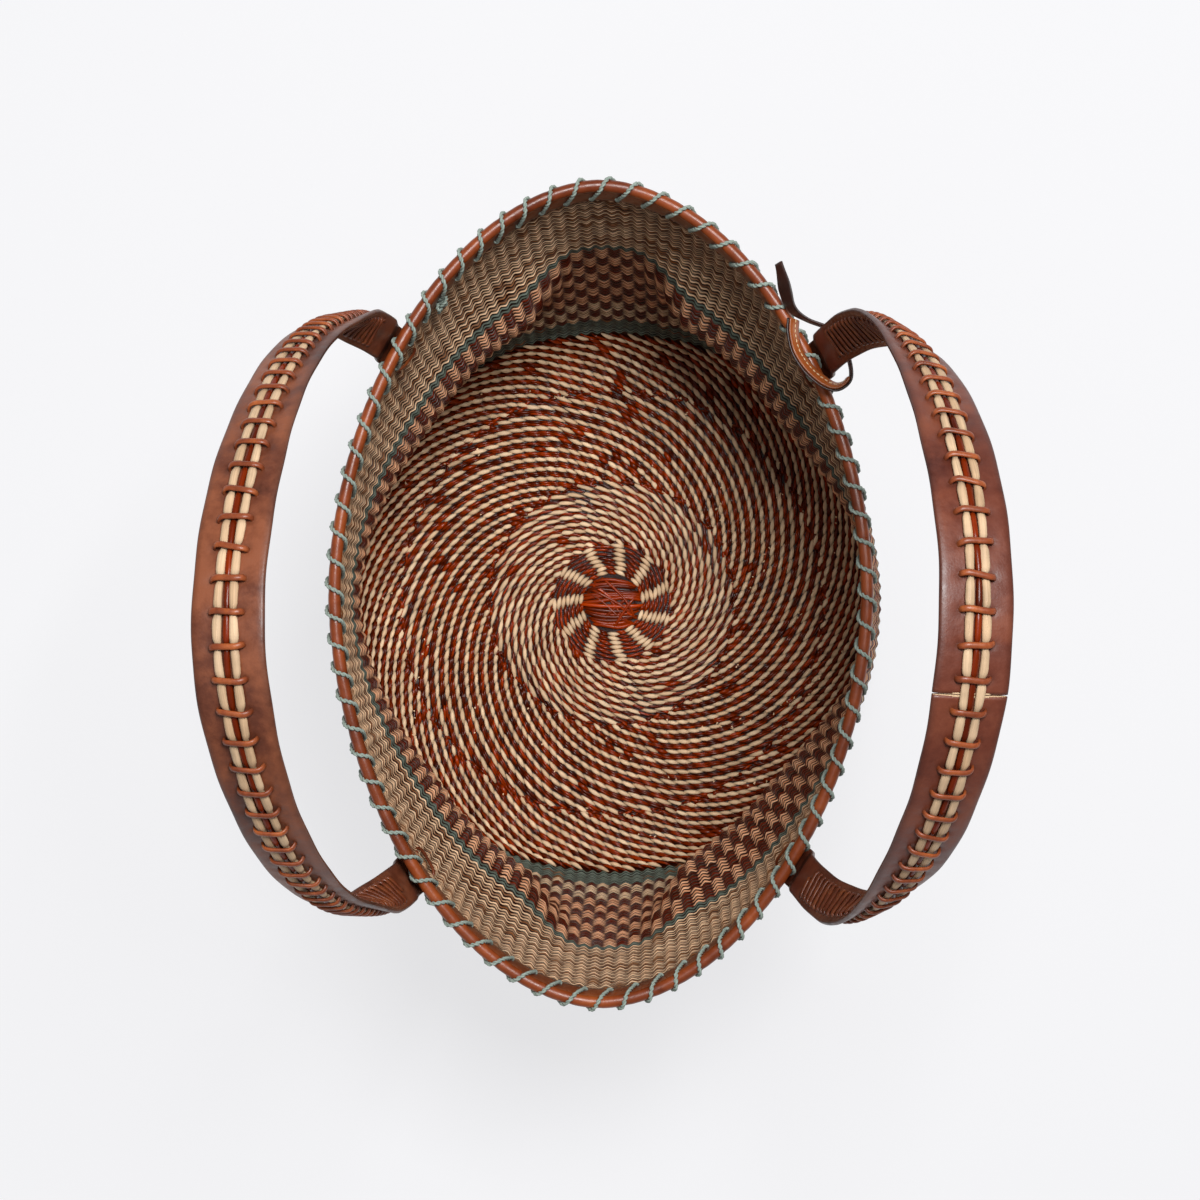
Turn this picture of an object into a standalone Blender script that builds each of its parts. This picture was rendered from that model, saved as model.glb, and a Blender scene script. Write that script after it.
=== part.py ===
"""Bolga basket: a round-based woven basket whose mouth is pinched to an oval, with a
leather-bound rim and two upright handles of laced leather strap.

Run with: blender --background --python part.py

All sizes are metres. The origin is the centre of the flat underside, +Z is up, +Y runs along
the long way of the mouth and +X across it. "share" is the place round the basket: 0 at +X,
0.25 at +Y, counted along the length of the rim, so that stakes and stitches stand evenly.
"""

import math
from dataclasses import dataclass

import bmesh
import bpy
import numpy as np

# The woven body
BASE_RADIUS = 0.165
MOUTH_HALF_LENGTH = 0.2123
MOUTH_HALF_WIDTH = 0.1370
MOUTH_SHIFT_X = -0.007
MOUTH_SHIFT_Y = 0.005
MOUTH_ROUNDNESS = 1.84
RIM_END_HEIGHT = 0.250
RIM_SIDE_RISE = 0.015
WALL_THICKNESS = 0.0044
WALL_EDGE_THICKNESS = 0.0020
WALL_GROOVE_DEPTH = 0.0013
CORNER_RADIUS_END = 0.022
CORNER_RADIUS_SIDE = 0.045
KNOT_RADIUS = 0.017
BASE_FLAT_RING_RADIUS = 0.062

# Colour bands, measured along the wall from the rim down
CREAM_BAND_WIDTH = 0.0885
GREY_LINE_WIDTH = 0.0052
CHECK_BAND_WIDTH = 0.1262
GREY_BAND_WIDTH = 0.0205

# The waist that the pull of the handles presses into the wall between the ends
DENT_DEPTH = 0.024
DENT_HEIGHT_SHARE = 0.56
DENT_FRONT_RIGHT_HEIGHT_SHARE = 0.45
DENT_SPREAD_SHARE = 0.14
DENT_START_ANGLE = math.radians(5)
DENT_FULL_ANGLE = math.radians(20)
DENT_EASE_ANGLE = math.radians(43)
LEFT_SIDE_DENT_SHARE = 0.45
RIGHT_SIDE_DENT_SHARE = 0.0

# The bound rim
RIM_CORE_RADIUS = 0.0019
RIM_LEATHER_THICKNESS = 0.0010
FLANGE_DROP = 0.0090
FLANGE_HALF_WIDTH = 0.0023
LASHING_RADIUS = 0.0010
LASHING_STITCHES = 76
LASHING_CLEARANCE = 0.0006
NOTCH_WIDTH = 0.0032
NOTCH_MARGIN = 0.0005
LASHING_START_SHARE = 0.3475
KNOT_LOOP_RADIUS = 0.0019

# The leather handles
STRAP_THICKNESS = 0.0032
STRAP_END_WIDTH = 0.0226
STRAP_MIDDLE_WIDTH = 0.0330
STRAP_WIDENING_LENGTH = 0.300
LEFT_TWIST_LENGTH = 0.100
RIGHT_TWIST_LENGTH = 0.230
HINGE_STANDOFF = 0.0082
BEND_REACH_UP = 0.0078
BEND_REACH_DOWN = 0.0070
LEFT_ARCH_HEIGHT = 0.246
RIGHT_ARCH_HEIGHT = 0.2505
LEFT_ARCH_SHIFT = 0.0085
RIGHT_ARCH_SHIFT = 0.0010
TAB_LENGTH = 0.047
TAB_SETTLE_START = 0.0135
TAB_SETTLE_END = 0.0225
TAB_FIRST_STITCH = 0.0270
TAB_STITCH_STEP = 0.0110

# Lacing and cords
LACE_FREE_END = 0.0115
LACE_STITCHES = 20
LACE_CROWDING_SHARE = 0.4
LACE_HOLE_OFFSET = 0.0073
LACE_HOLE_SIZE = 0.0030
LACE_RADIUS = 0.0011
CREAM_CORD_HALF_WIDTH = 0.0017
CREAM_CORD_HALF_HEIGHT = 0.0013
RUST_CORD_HALF_WIDTH = 0.0013
RUST_CORD_HALF_HEIGHT = 0.0012
CORD_PITCH = 0.0036
CORD_CLEARANCE = 0.0006
TAB_LACE_CLEARANCE = 0.0007
SEAM_FROM_MIDDLE = 0.031
SLOT_HEIGHT = 0.0034

# The stitched loop that hangs on the right handle
LOOP_BAND_WIDTH = 0.0100
LOOP_LAYER_THICKNESS = 0.0013
LOOP_HEIGHT_OVER_RIM = 0.0105

# Between touching pieces
GAP = 0.0003

KNOT_COLUMNS = 24
MERIDIAN_SAMPLES = 26


def unit(vectors):
    """Each vector at length 1."""
    return vectors / np.linalg.norm(vectors, axis=-1, keepdims=True)


def smooth(start, end, value):
    """0 before start, 1 after end, and an S-curve between."""
    x = np.clip((value - start) / (end - start), 0, 1)
    return x * x * (3 - 2 * x)


def rim_plan(angle):
    """The rim's centre line seen from above: a slightly pointed ellipse."""
    power = 2 / MOUTH_ROUNDNESS
    c, s = np.cos(angle), np.sin(angle)
    x = MOUTH_SHIFT_X + MOUTH_HALF_WIDTH * np.sign(c) * np.abs(c) ** power
    y = MOUTH_SHIFT_Y + MOUTH_HALF_LENGTH * np.sign(s) * np.abs(s) ** power
    return np.stack([x, y], axis=-1)


RIM_ANGLES = np.linspace(0, 2 * math.pi, 4097)
RIM_STEPS = np.linalg.norm(np.diff(rim_plan(RIM_ANGLES), axis=0), axis=1)
RIM_RUN = np.concatenate([[0], np.cumsum(RIM_STEPS)])
RIM_LENGTH = RIM_RUN[-1]


def rim_height(share):
    """The roll's centre height: the sides stand higher than the ends."""
    return RIM_END_HEIGHT + RIM_SIDE_RISE * np.cos(2 * math.pi * share) ** 2


def rim_points(share):
    """The roll's centre at each share."""
    angle = np.interp(np.mod(share, 1) * RIM_LENGTH, RIM_RUN, RIM_ANGLES)
    return np.concatenate([rim_plan(angle), rim_height(share)[..., None]], axis=-1)


def dent(share):
    """How deep the waist is at each share: none at the two ends, most on the diagonals."""
    from_end = np.arccos(np.clip(np.abs(np.sin(2 * math.pi * share)), 0, 1))
    side = np.where(np.cos(2 * math.pi * share) < 0, LEFT_SIDE_DENT_SHARE, RIGHT_SIDE_DENT_SHARE)
    rise = smooth(DENT_START_ANGLE, DENT_FULL_ANGLE, from_end)
    fall = smooth(DENT_EASE_ANGLE, math.pi / 2, from_end)
    return DENT_DEPTH * rise * (1 - (1 - side) * fall)


def dent_height(share):
    """The share of the height at which the waist is deepest: lower in the front right quarter."""
    quarter = smooth(0, 0.5, np.cos(2 * math.pi * share)) * smooth(0, 0.5, -np.sin(2 * math.pi * share))
    return DENT_HEIGHT_SHARE + (DENT_FRONT_RIGHT_HEIGHT_SHARE - DENT_HEIGHT_SHARE) * quarter


def corner_radius(share):
    """The rounding between base and wall, tighter at the two ends."""
    return CORNER_RADIUS_END + (CORNER_RADIUS_SIDE - CORNER_RADIUS_END) * np.cos(2 * math.pi * share) ** 2


def wall_plan(share, height):
    """The wall before its corner is rounded: a straight line from the base circle to the rim,
    pressed inwards by the dent, which fades up and down as a bell curve."""
    outward = np.stack([np.cos(2 * math.pi * share), np.sin(2 * math.pi * share)], axis=-1)
    rim = rim_points(share)
    rise = height / rim[..., 2]
    bell = np.exp(-(((rise - dent_height(share)) / DENT_SPREAD_SHARE) ** 2))
    straight = BASE_RADIUS * outward * (1 - rise)[..., None] + rim[..., :2] * rise[..., None]
    return straight - outward * (dent(share) * bell)[..., None]


def meridians(share):
    """The shell's middle surface from the centre of the base to the rim, for each share:
    flat, then a quarter circle, then the wall."""
    share = np.asarray(share, float)[None, :]
    outward = np.stack([np.cos(2 * math.pi * share), np.sin(2 * math.pi * share)], axis=-1)
    radius = corner_radius(share)
    floor = WALL_THICKNESS / 2
    flat = np.linspace(0, 1, MERIDIAN_SAMPLES)[:-1, None]
    flat_plan = outward * (flat * (BASE_RADIUS - radius))[..., None]
    flat_height = np.full(flat_plan.shape[:2], floor)
    turn = np.linspace(0, math.pi / 2, MERIDIAN_SAMPLES)[:-1, None]
    turn_height = radius * (1 - np.cos(turn))
    inset = radius * (1 - np.sin(turn))
    share_turn = np.broadcast_to(share, turn_height.shape)
    turn_plan = wall_plan(share_turn, turn_height) - outward * inset[..., None]
    climb = np.linspace(0, 1, 3 * MERIDIAN_SAMPLES)[:, None]
    top = rim_height(share) - floor
    wall_rise = radius + climb * (top - radius)
    stretched = wall_rise * rim_height(share) / top
    share_wall = np.broadcast_to(share, wall_rise.shape)
    wall = wall_plan(share_wall, stretched)
    plan = np.concatenate([flat_plan, turn_plan, wall])
    height = np.concatenate([flat_height, turn_height + floor, wall_rise + floor])
    return np.concatenate([plan, height[..., None]], axis=-1)


def meridian_lengths(share):
    """How long each meridian is."""
    return np.linalg.norm(np.diff(meridians(share), axis=0), axis=-1).sum(axis=0)


END_LENGTH = float(meridian_lengths([0.25])[0])


def shell_points(share, part):
    """The middle surface at each share (columns) and each part of the way from the centre of
    the base to the rim (rows, or rows and columns)."""
    share = np.asarray(share, float)
    part = np.asarray(part, float)
    if part.ndim == 1:
        part = np.repeat(part[:, None], len(share), axis=1)
    lines = meridians(share)
    run = np.linalg.norm(np.diff(lines, axis=0), axis=-1).cumsum(axis=0)
    run = np.concatenate([np.zeros((1, len(share))), run])
    points = np.empty(part.shape + (3,))
    for column in range(len(share)):
        length = run[:, column] / run[-1, column]
        for axis in range(3):
            points[:, column, axis] = np.interp(part[:, column], length, lines[:, column, axis])
    return points


def shell_normals(share, part):
    """The outward normal of the middle surface, from its slopes both ways."""
    share = np.asarray(share, float)
    part = np.asarray(part, float)
    step = 0.002
    along = shell_points(share + step, part) - shell_points(share - step, part)
    up = shell_points(share, np.minimum(part + step, 1)) - shell_points(share, np.maximum(part - step, 0))
    return unit(np.cross(along, up))


def below_rim(share, distance):
    """The part of the way for a distance down the wall from the rim, for each share."""
    return 1 - np.asarray(distance)[..., None] / meridian_lengths(share)[None, :]


def rim_frame(share):
    """The roll's centre, the way along the rim, outward and up along the wall's stakes."""
    share = np.atleast_1d(np.asarray(share, float))
    step = 0.001
    centre = rim_points(share)
    along = unit(rim_points(share + step) - rim_points(share - step))
    wall = shell_points(share, [1 - 2 * step, 1])
    up = unit(wall[1] - wall[0])
    return centre, along, unit(np.cross(along, up)), up


def make_material(name, colour, roughness):
    """A plain surface of one colour."""
    material = bpy.data.materials.new(name)
    material.use_nodes = True
    shader = material.node_tree.nodes["Principled BSDF"]
    shader.inputs["Base Color"].default_value = (*colour, 1)
    shader.inputs["Roughness"].default_value = roughness
    shader.inputs["Metallic"].default_value = 0
    material.diffuse_color = (*colour, 1)
    return material


def add_solid(name, points, faces, material, parent):
    """A closed mesh object with its faces turned outwards."""
    mesh = bpy.data.meshes.new(name)
    mesh.from_pydata([tuple(point) for point in points], [], faces)
    shape = bmesh.new()
    shape.from_mesh(mesh)
    bmesh.ops.recalc_face_normals(shape, faces=shape.faces)
    shape.to_mesh(mesh)
    shape.free()
    mesh.shade_smooth()
    mesh.set_sharp_from_angle(angle=math.radians(40))
    mesh.materials.append(material)
    solid = bpy.data.objects.new(name, mesh)
    bpy.context.scene.collection.objects.link(solid)
    if parent:
        solid.parent = parent
        solid.matrix_parent_inverse = parent.matrix_world.inverted()
    return solid


def settled(points, faces):
    """Each four-sided face split along its lower diagonal, so that what lies over it is clear."""
    split = []
    for a, b, c, d in faces:
        outward = np.cross(points[c] - points[a], points[d] - points[b])
        if (points[a] + points[c] - points[b] - points[d]) @ outward < 0:
            split += [(a, b, c), (a, c, d)]
        else:
            split += [(a, b, d), (b, c, d)]
    return split


def skin(name, outer, inner, faces, material, parent=None, settle=False):
    """A solid between two skins of points that share their faces. Every free edge of the outer
    skin gets a wall to the inner one, so a missing face makes a hole or a notch."""
    free = {}
    for face in faces:
        for start, end in zip(face, face[1:] + face[:1]):
            if (end, start) in free:
                del free[end, start]
            else:
                free[start, end] = True
    back = len(outer)
    behind = [tuple(back + corner for corner in reversed(face)) for face in faces]
    walls = [(end, start, back + start, back + end) for start, end in free]
    points = np.concatenate([outer, inner])
    if settle:
        faces, behind = settled(points, faces), settled(points, behind)
    return add_solid(name, points, faces + behind + walls, material, parent)


def grid_faces(rows, columns, keep=None, ring=False, first=0):
    """Four-sided faces over a grid of points, without the cells where keep is false."""
    faces = []
    for row in range(rows - 1):
        for column in range(columns if ring else columns - 1):
            if keep is None or keep[row, column]:
                here, beside = first + row * columns, (column + 1) % columns
                faces.append((here + column, here + beside, here + columns + beside, here + columns + column))
    return faces


def plate(name, outer, inner, material, parent=None, keep=None, ring=False, settle=False):
    """A skin between two grids of points."""
    faces = grid_faces(*outer.shape[:2], keep, ring)
    return skin(name, outer.reshape(-1, 3), inner.reshape(-1, 3), faces, material, parent, settle)


def tube(name, rings, material, parent=None, ring=False):
    """A closed cord through rings of points, with a flat cap at each free end."""
    count, sides = rings.shape[:2]
    faces = []
    for step in range(count if ring else count - 1):
        here, there = sides * step, sides * ((step + 1) % count)
        for edge in range(sides):
            beyond = (edge + 1) % sides
            faces.append((here + edge, here + beyond, there + beyond, there + edge))
    if not ring:
        last = sides * (count - 1)
        faces += [tuple(range(sides)), tuple(range(last + sides - 1, last - 1, -1))]
    return add_solid(name, rings.reshape(-1, 3), faces, material, parent)


def directions(path, ring=False):
    """The way into and out of each point of a path."""
    if ring:
        return unit(path - np.roll(path, 1, axis=0)), unit(np.roll(path, -1, axis=0) - path)
    runs = unit(np.diff(path, axis=0))
    return np.concatenate([runs[:1], runs]), np.concatenate([runs, runs[-1:]])


def flat_cord(path, side, half_width, half_height, ring=False):
    """Rings of a four-sided cord whose width lies along side at each point."""
    into, out = directions(path, ring)
    tangent = unit(into + out)
    side = unit(side - tangent * np.sum(side * tangent, axis=1, keepdims=True))
    over = np.cross(tangent, side)
    corners = ((-1, -1), (1, -1), (1, 1), (-1, 1))
    return np.stack([path + a * half_width * side + b * half_height * over for a, b in corners], axis=1)


def round_cord(path, side, radius):
    """Rings of a four-sided cord that turns its corners as mitres, so that every straight run is
    a true prism and lies within its radius of the path."""
    into, out = directions(path)
    side = unit(side - into[0] * (side @ into[0]))
    over = np.cross(into[0], side)
    offsets = radius * np.array([side, over, -side, -over])
    rings = []
    for point, before, after in zip(path, into, out):
        plane = unit(before + after)
        mitred = offsets - np.outer(offsets @ plane, before) / (before @ plane)
        rings.append(point + mitred)
        offsets = mitred - np.outer(mitred @ after, after)
    return np.array(rings)


def rib_columns():
    """Shares and thicknesses of the ribs that the stakes raise on both sides of the wall, one
    between every two lashing stitches, and of the grooves between them."""
    share = stitch_share(np.arange(2 * LASHING_STITCHES) / 2 - 0.5)
    thickness = np.tile([WALL_THICKNESS, WALL_THICKNESS - 2 * WALL_GROOVE_DEPTH], LASHING_STITCHES)
    return share, thickness


def shell_band(name, part_rows, material, parent, ribbed=False):
    """One band of the woven shell, all the way round."""
    share, thickness = rib_columns()
    if not ribbed:
        share, thickness = share[::2], thickness[::2]
    middle = shell_points(share, part_rows)
    half = shell_normals(share, part_rows) * thickness[:, None] / 2
    return plate(name, middle + half, middle - half, material, parent, ring=True)


def build_shell(materials, parent):
    """The base, the colour bands and the plain upper wall, each a ring of weave of its own."""
    gap = GAP / 2 / END_LENGTH
    cream = 1 - CREAM_BAND_WIDTH / END_LENGTH
    line = cream - GREY_LINE_WIDTH / END_LENGTH
    checks = line - CHECK_BAND_WIDTH / END_LENGTH
    grey = checks - GREY_BAND_WIDTH / END_LENGTH
    knot = KNOT_RADIUS / END_LENGTH
    flat = BASE_FLAT_RING_RADIUS / END_LENGTH
    corner = (BASE_RADIUS - CORNER_RADIUS_SIDE) / END_LENGTH

    share = np.arange(KNOT_COLUMNS) / KNOT_COLUMNS
    edge = shell_points(share, [knot - gap])[0]
    half = np.array([0, 0, WALL_THICKNESS / 2])
    count = len(share)
    sides = [(i, (i + 1) % count, count + (i + 1) % count, count + i) for i in range(count)]
    caps = [tuple(range(count)), tuple(range(count, 2 * count))]
    add_solid("base_knot", np.concatenate([edge - half, edge + half]), sides + caps, materials["rust"], parent)

    base_rows = np.concatenate([[knot + gap, flat], np.linspace(corner, grey - gap, 5)])
    shell_band("base_weave", base_rows, materials["rust"], parent)
    shell_band("lower_grey_band", np.linspace(grey + gap, checks - gap, 3), materials["grey"], parent)
    check_rows = np.linspace(checks + gap, line - gap, 5)
    shell_band("check_band", check_rows, materials["pink"], parent, ribbed=True)
    shell_band("upper_grey_line", [line + gap, cream - gap], materials["grey"], parent, ribbed=True)
    build_upper_wall(cream + gap, materials, parent)


def stitch_share(number):
    """Where a lashing stitch passes through the wall."""
    return LASHING_START_SHARE + (np.asarray(number, float) + 1) / LASHING_STITCHES


def stitch_depth():
    """How far below the roll's centre the lashing passes through the wall."""
    return FLANGE_DROP + GAP + LASHING_CLEARANCE + LASHING_RADIUS


def build_upper_wall(lowest, materials, parent):
    """The plain upper wall. Its pressed top edge stands in the binding, notched at each stitch."""
    number = np.arange(LASHING_STITCHES)
    ribs, thicknesses = rib_columns()
    half_notch = NOTCH_WIDTH / 2 / RIM_LENGTH
    edges = np.stack([stitch_share(number) - half_notch, stitch_share(number) + half_notch], axis=1).reshape(-1)
    notch_floor = stitch_depth() + LASHING_RADIUS + NOTCH_MARGIN
    shoulder = below_rim(ribs, [notch_floor + WALL_THICKNESS])[0]
    low_part = lowest + (shoulder - lowest) * np.linspace(0, 1, 4)[:, None]
    top_part = below_rim(edges, [notch_floor, RIM_CORE_RADIUS + 2 * GAP])
    outer, inner = [], []
    pressed = np.full(len(edges), WALL_EDGE_THICKNESS)
    for share, part, thickness in ((ribs, low_part, thicknesses), (edges, top_part, pressed)):
        middle = shell_points(share, part)
        half = shell_normals(share, part) * thickness[:, None] / 2
        outer.append((middle + half).reshape(-1, 3))
        inner.append((middle - half).reshape(-1, 3))

    count, rows = len(ribs), len(low_part)
    faces = grid_faces(rows, count, ring=True)
    low, top, upper = (rows - 1) * count, rows * count, (rows + 1) * count
    for rib in range(0, count, 2):
        before, after, beyond = (rib - 1) % count, rib + 1, (rib + 2) % count
        faces.append((low + rib, top + rib, top + before))
        faces.append((low + rib, low + after, top + rib))
        faces.append((low + after, top + after, top + rib))
        faces.append((low + after, low + beyond, top + after))
        faces.append((top + before, top + rib, upper + rib, upper + before))
    wall = skin("upper_wall", np.concatenate(outer), np.concatenate(inner), faces, materials["cream"], parent)
    cut_lace_slots(wall)


def cut_lace_slots(wall):
    """Slots through the wall behind each strap tab, for the lace that holds the tab."""
    points, faces = [], []
    half_width = LACE_HOLE_OFFSET + LACE_HOLE_SIZE / 2
    for handle in HANDLES:
        for share in (handle.first_share, handle.last_share):
            for number in range(2):
                depth = TAB_FIRST_STITCH + number * TAB_STITCH_STEP
                place, along, outward, up = wall_frame(share, depth)
                start = len(points)
                for w in (-half_width, half_width):
                    for n in (-WALL_THICKNESS, WALL_THICKNESS):
                        for u in (-SLOT_HEIGHT / 2, SLOT_HEIGHT / 2):
                            points.append(place + w * along + n * outward + u * up)
                box = ((0, 1, 3, 2), (4, 6, 7, 5), (0, 4, 5, 1), (2, 3, 7, 6), (0, 2, 6, 4), (1, 5, 7, 3))
                faces += [tuple(start + corner for corner in face) for face in box]
    cutter = add_solid("slot_cutter", np.array(points), faces, wall.data.materials[0], None)
    cutter.hide_render = True
    cutter.display_type = "WIRE"
    cut = wall.modifiers.new("lace slots", "BOOLEAN")
    cut.object = cutter
    cut.operation = "DIFFERENCE"
    cut.solver = "EXACT"


def wall_frame(share, depth):
    """The middle surface at one share and depth below the rim: its place, the way along the
    wall, outward and up."""
    step = 0.002
    centre = np.array([share])
    part = below_rim(centre, [depth])
    place = shell_points(centre, part)[0, 0]
    outward = shell_normals(centre, part)[0, 0]
    beside = np.array([share - step, share + step])
    sides = shell_points(beside, below_rim(beside, [depth]))[0]
    along = unit(sides[1] - sides[0])
    along = unit(along - outward * (along @ outward))
    return place, along, outward, np.cross(outward, along)


def build_rim(materials, parent):
    """The straw core, the leather folded over it, and the cord whipped round both."""
    columns = LASHING_STITCHES
    centre, along, outward, up = rim_frame(stitch_share(np.arange(columns)))

    def ring_of(section):
        n = np.array([point[0] for point in section])[:, None, None]
        u = np.array([point[1] for point in section])[:, None, None]
        return centre + n * outward + u * up

    def closed_ring(name, section, material):
        rings = ring_of(section)
        count = len(section)
        points = rings.transpose(1, 0, 2).reshape(-1, 3)
        faces = []
        for column in range(columns):
            here, there = column * count, (column + 1) % columns * count
            for edge in range(count):
                beyond = (edge + 1) % count
                faces.append((here + edge, here + beyond, there + beyond, there + edge))
        return add_solid(name, points, faces, material, parent)

    turns = [math.radians(degrees) for degrees in (210, 150, 90, 30, -30)]
    quarters = [math.radians(degrees) for degrees in (180, 90, 0)]
    core = [(RIM_CORE_RADIUS * math.cos(t), RIM_CORE_RADIUS * math.sin(t)) for t in quarters]
    core.append((0, -RIM_CORE_RADIUS))
    closed_ring("rim_core", core, materials["straw"])

    inside = RIM_CORE_RADIUS + 2 * GAP
    outside = RIM_CORE_RADIUS + GAP + RIM_LEATHER_THICKNESS
    lining = FLANGE_HALF_WIDTH - RIM_LEATHER_THICKNESS
    fold = [(-FLANGE_HALF_WIDTH, -FLANGE_DROP)]
    fold += [(outside * math.cos(t), outside * math.sin(t)) for t in turns]
    fold += [(FLANGE_HALF_WIDTH, -FLANGE_DROP), (lining, -FLANGE_DROP)]
    fold += [(inside * math.cos(t), inside * math.sin(t)) for t in reversed(quarters)]
    fold += [(-lining, -FLANGE_DROP)]
    closed_ring("rim_leather", fold, materials["rim leather"])
    build_lashing(outside, materials, parent)


def build_lashing(roll_radius, materials, parent):
    """One cord whipped round the rim: in through each notch, up the inside, over the roll while
    it moves on by one stitch, and down the outside to the next notch."""
    reach = roll_radius + LASHING_CLEARANCE + LASHING_RADIUS
    depth = stitch_depth()
    low = max(WALL_THICKNESS / 2, FLANGE_HALF_WIDTH) + LASHING_CLEARANCE + LASHING_RADIUS
    shoulder = math.radians(52)
    turn = (
        (0.0, low, -depth),
        (0.0, -low, -depth),
        (-0.28, -reach, 0.0),
        (-0.42, -reach * math.cos(shoulder), reach * math.sin(shoulder) + LASHING_CLEARANCE),
        (-0.58, reach * math.cos(shoulder), reach * math.sin(shoulder) + LASHING_CLEARANCE),
        (-0.72, reach, 0.0),
    )
    start = (LASHING_STITCHES - 1, -low, LASHING_RADIUS * 2 + LASHING_CLEARANCE - depth)
    places = [start]
    for number in reversed(range(LASHING_STITCHES)):
        places += [(number + advance_share, out, up) for advance_share, out, up in turn]
    places += [(-1, low, -depth), (-1, -low, -depth)]
    del places[1:3]
    number, out, up = np.array(places).T
    centre, along, outward, up_way = rim_frame(stitch_share(number))
    path = centre + out[:, None] * outward + up[:, None] * up_way
    tube("rim_lashing", round_cord(path, along[0], LASHING_RADIUS), materials["grey cord"], parent)
    print(f"rim_lashing: least gap to itself {least_gap(path, LASHING_RADIUS) * 1000:.2f} mm")

    centre, along, outward, up_way = (part[0] for part in rim_frame(stitch_share(-1)))
    t = np.linspace(0, 2 * math.pi, 25)[:-1, None]
    across, high, out = np.sin(t) + 2 * np.sin(2 * t), np.cos(t) - 2 * np.cos(2 * t), -np.sin(3 * t)
    back = WALL_THICKNESS / 2 + LASHING_CLEARANCE + LASHING_RADIUS + KNOT_LOOP_RADIUS
    drop = depth + LASHING_RADIUS + LASHING_CLEARANCE + 4 * KNOT_LOOP_RADIUS
    middle = centre - outward * back - up_way * drop
    knot = middle + KNOT_LOOP_RADIUS * (across * along + high * up_way + out * outward)
    side = np.repeat(outward[None], len(knot), axis=0)
    width = KNOT_LOOP_RADIUS / 2.4
    tube("lashing_knot", flat_cord(knot, side, width, width, ring=True), materials["grey cord"], parent, ring=True)
    print(f"lashing_knot: least gap to itself {least_gap(knot, width, ring=True) * 1000:.2f} mm")


def least_gap(path, radius, ring=False):
    """The least gap of a cord to itself, measured between points on its centre line that are
    more than six radii apart along it."""
    path = np.concatenate([path, path[:1]]) if ring else path
    steps = 8
    t = np.linspace(0, 1, steps + 1)[:-1, None, None]
    fine = (path[:-1] * (1 - t) + path[1:] * t).transpose(1, 0, 2).reshape(-1, 3)
    run = np.concatenate([[0], np.linalg.norm(np.diff(fine, axis=0), axis=1).cumsum()])
    apart = np.abs(run[:, None] - run[None, :])
    if ring:
        apart = np.minimum(apart, run[-1] + np.linalg.norm(fine[-1] - fine[0]) - apart)
    distance = np.linalg.norm(fine[:, None] - fine[None, :], axis=-1)
    return float(distance[apart > 6 * radius].min()) - 2 * radius


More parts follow.
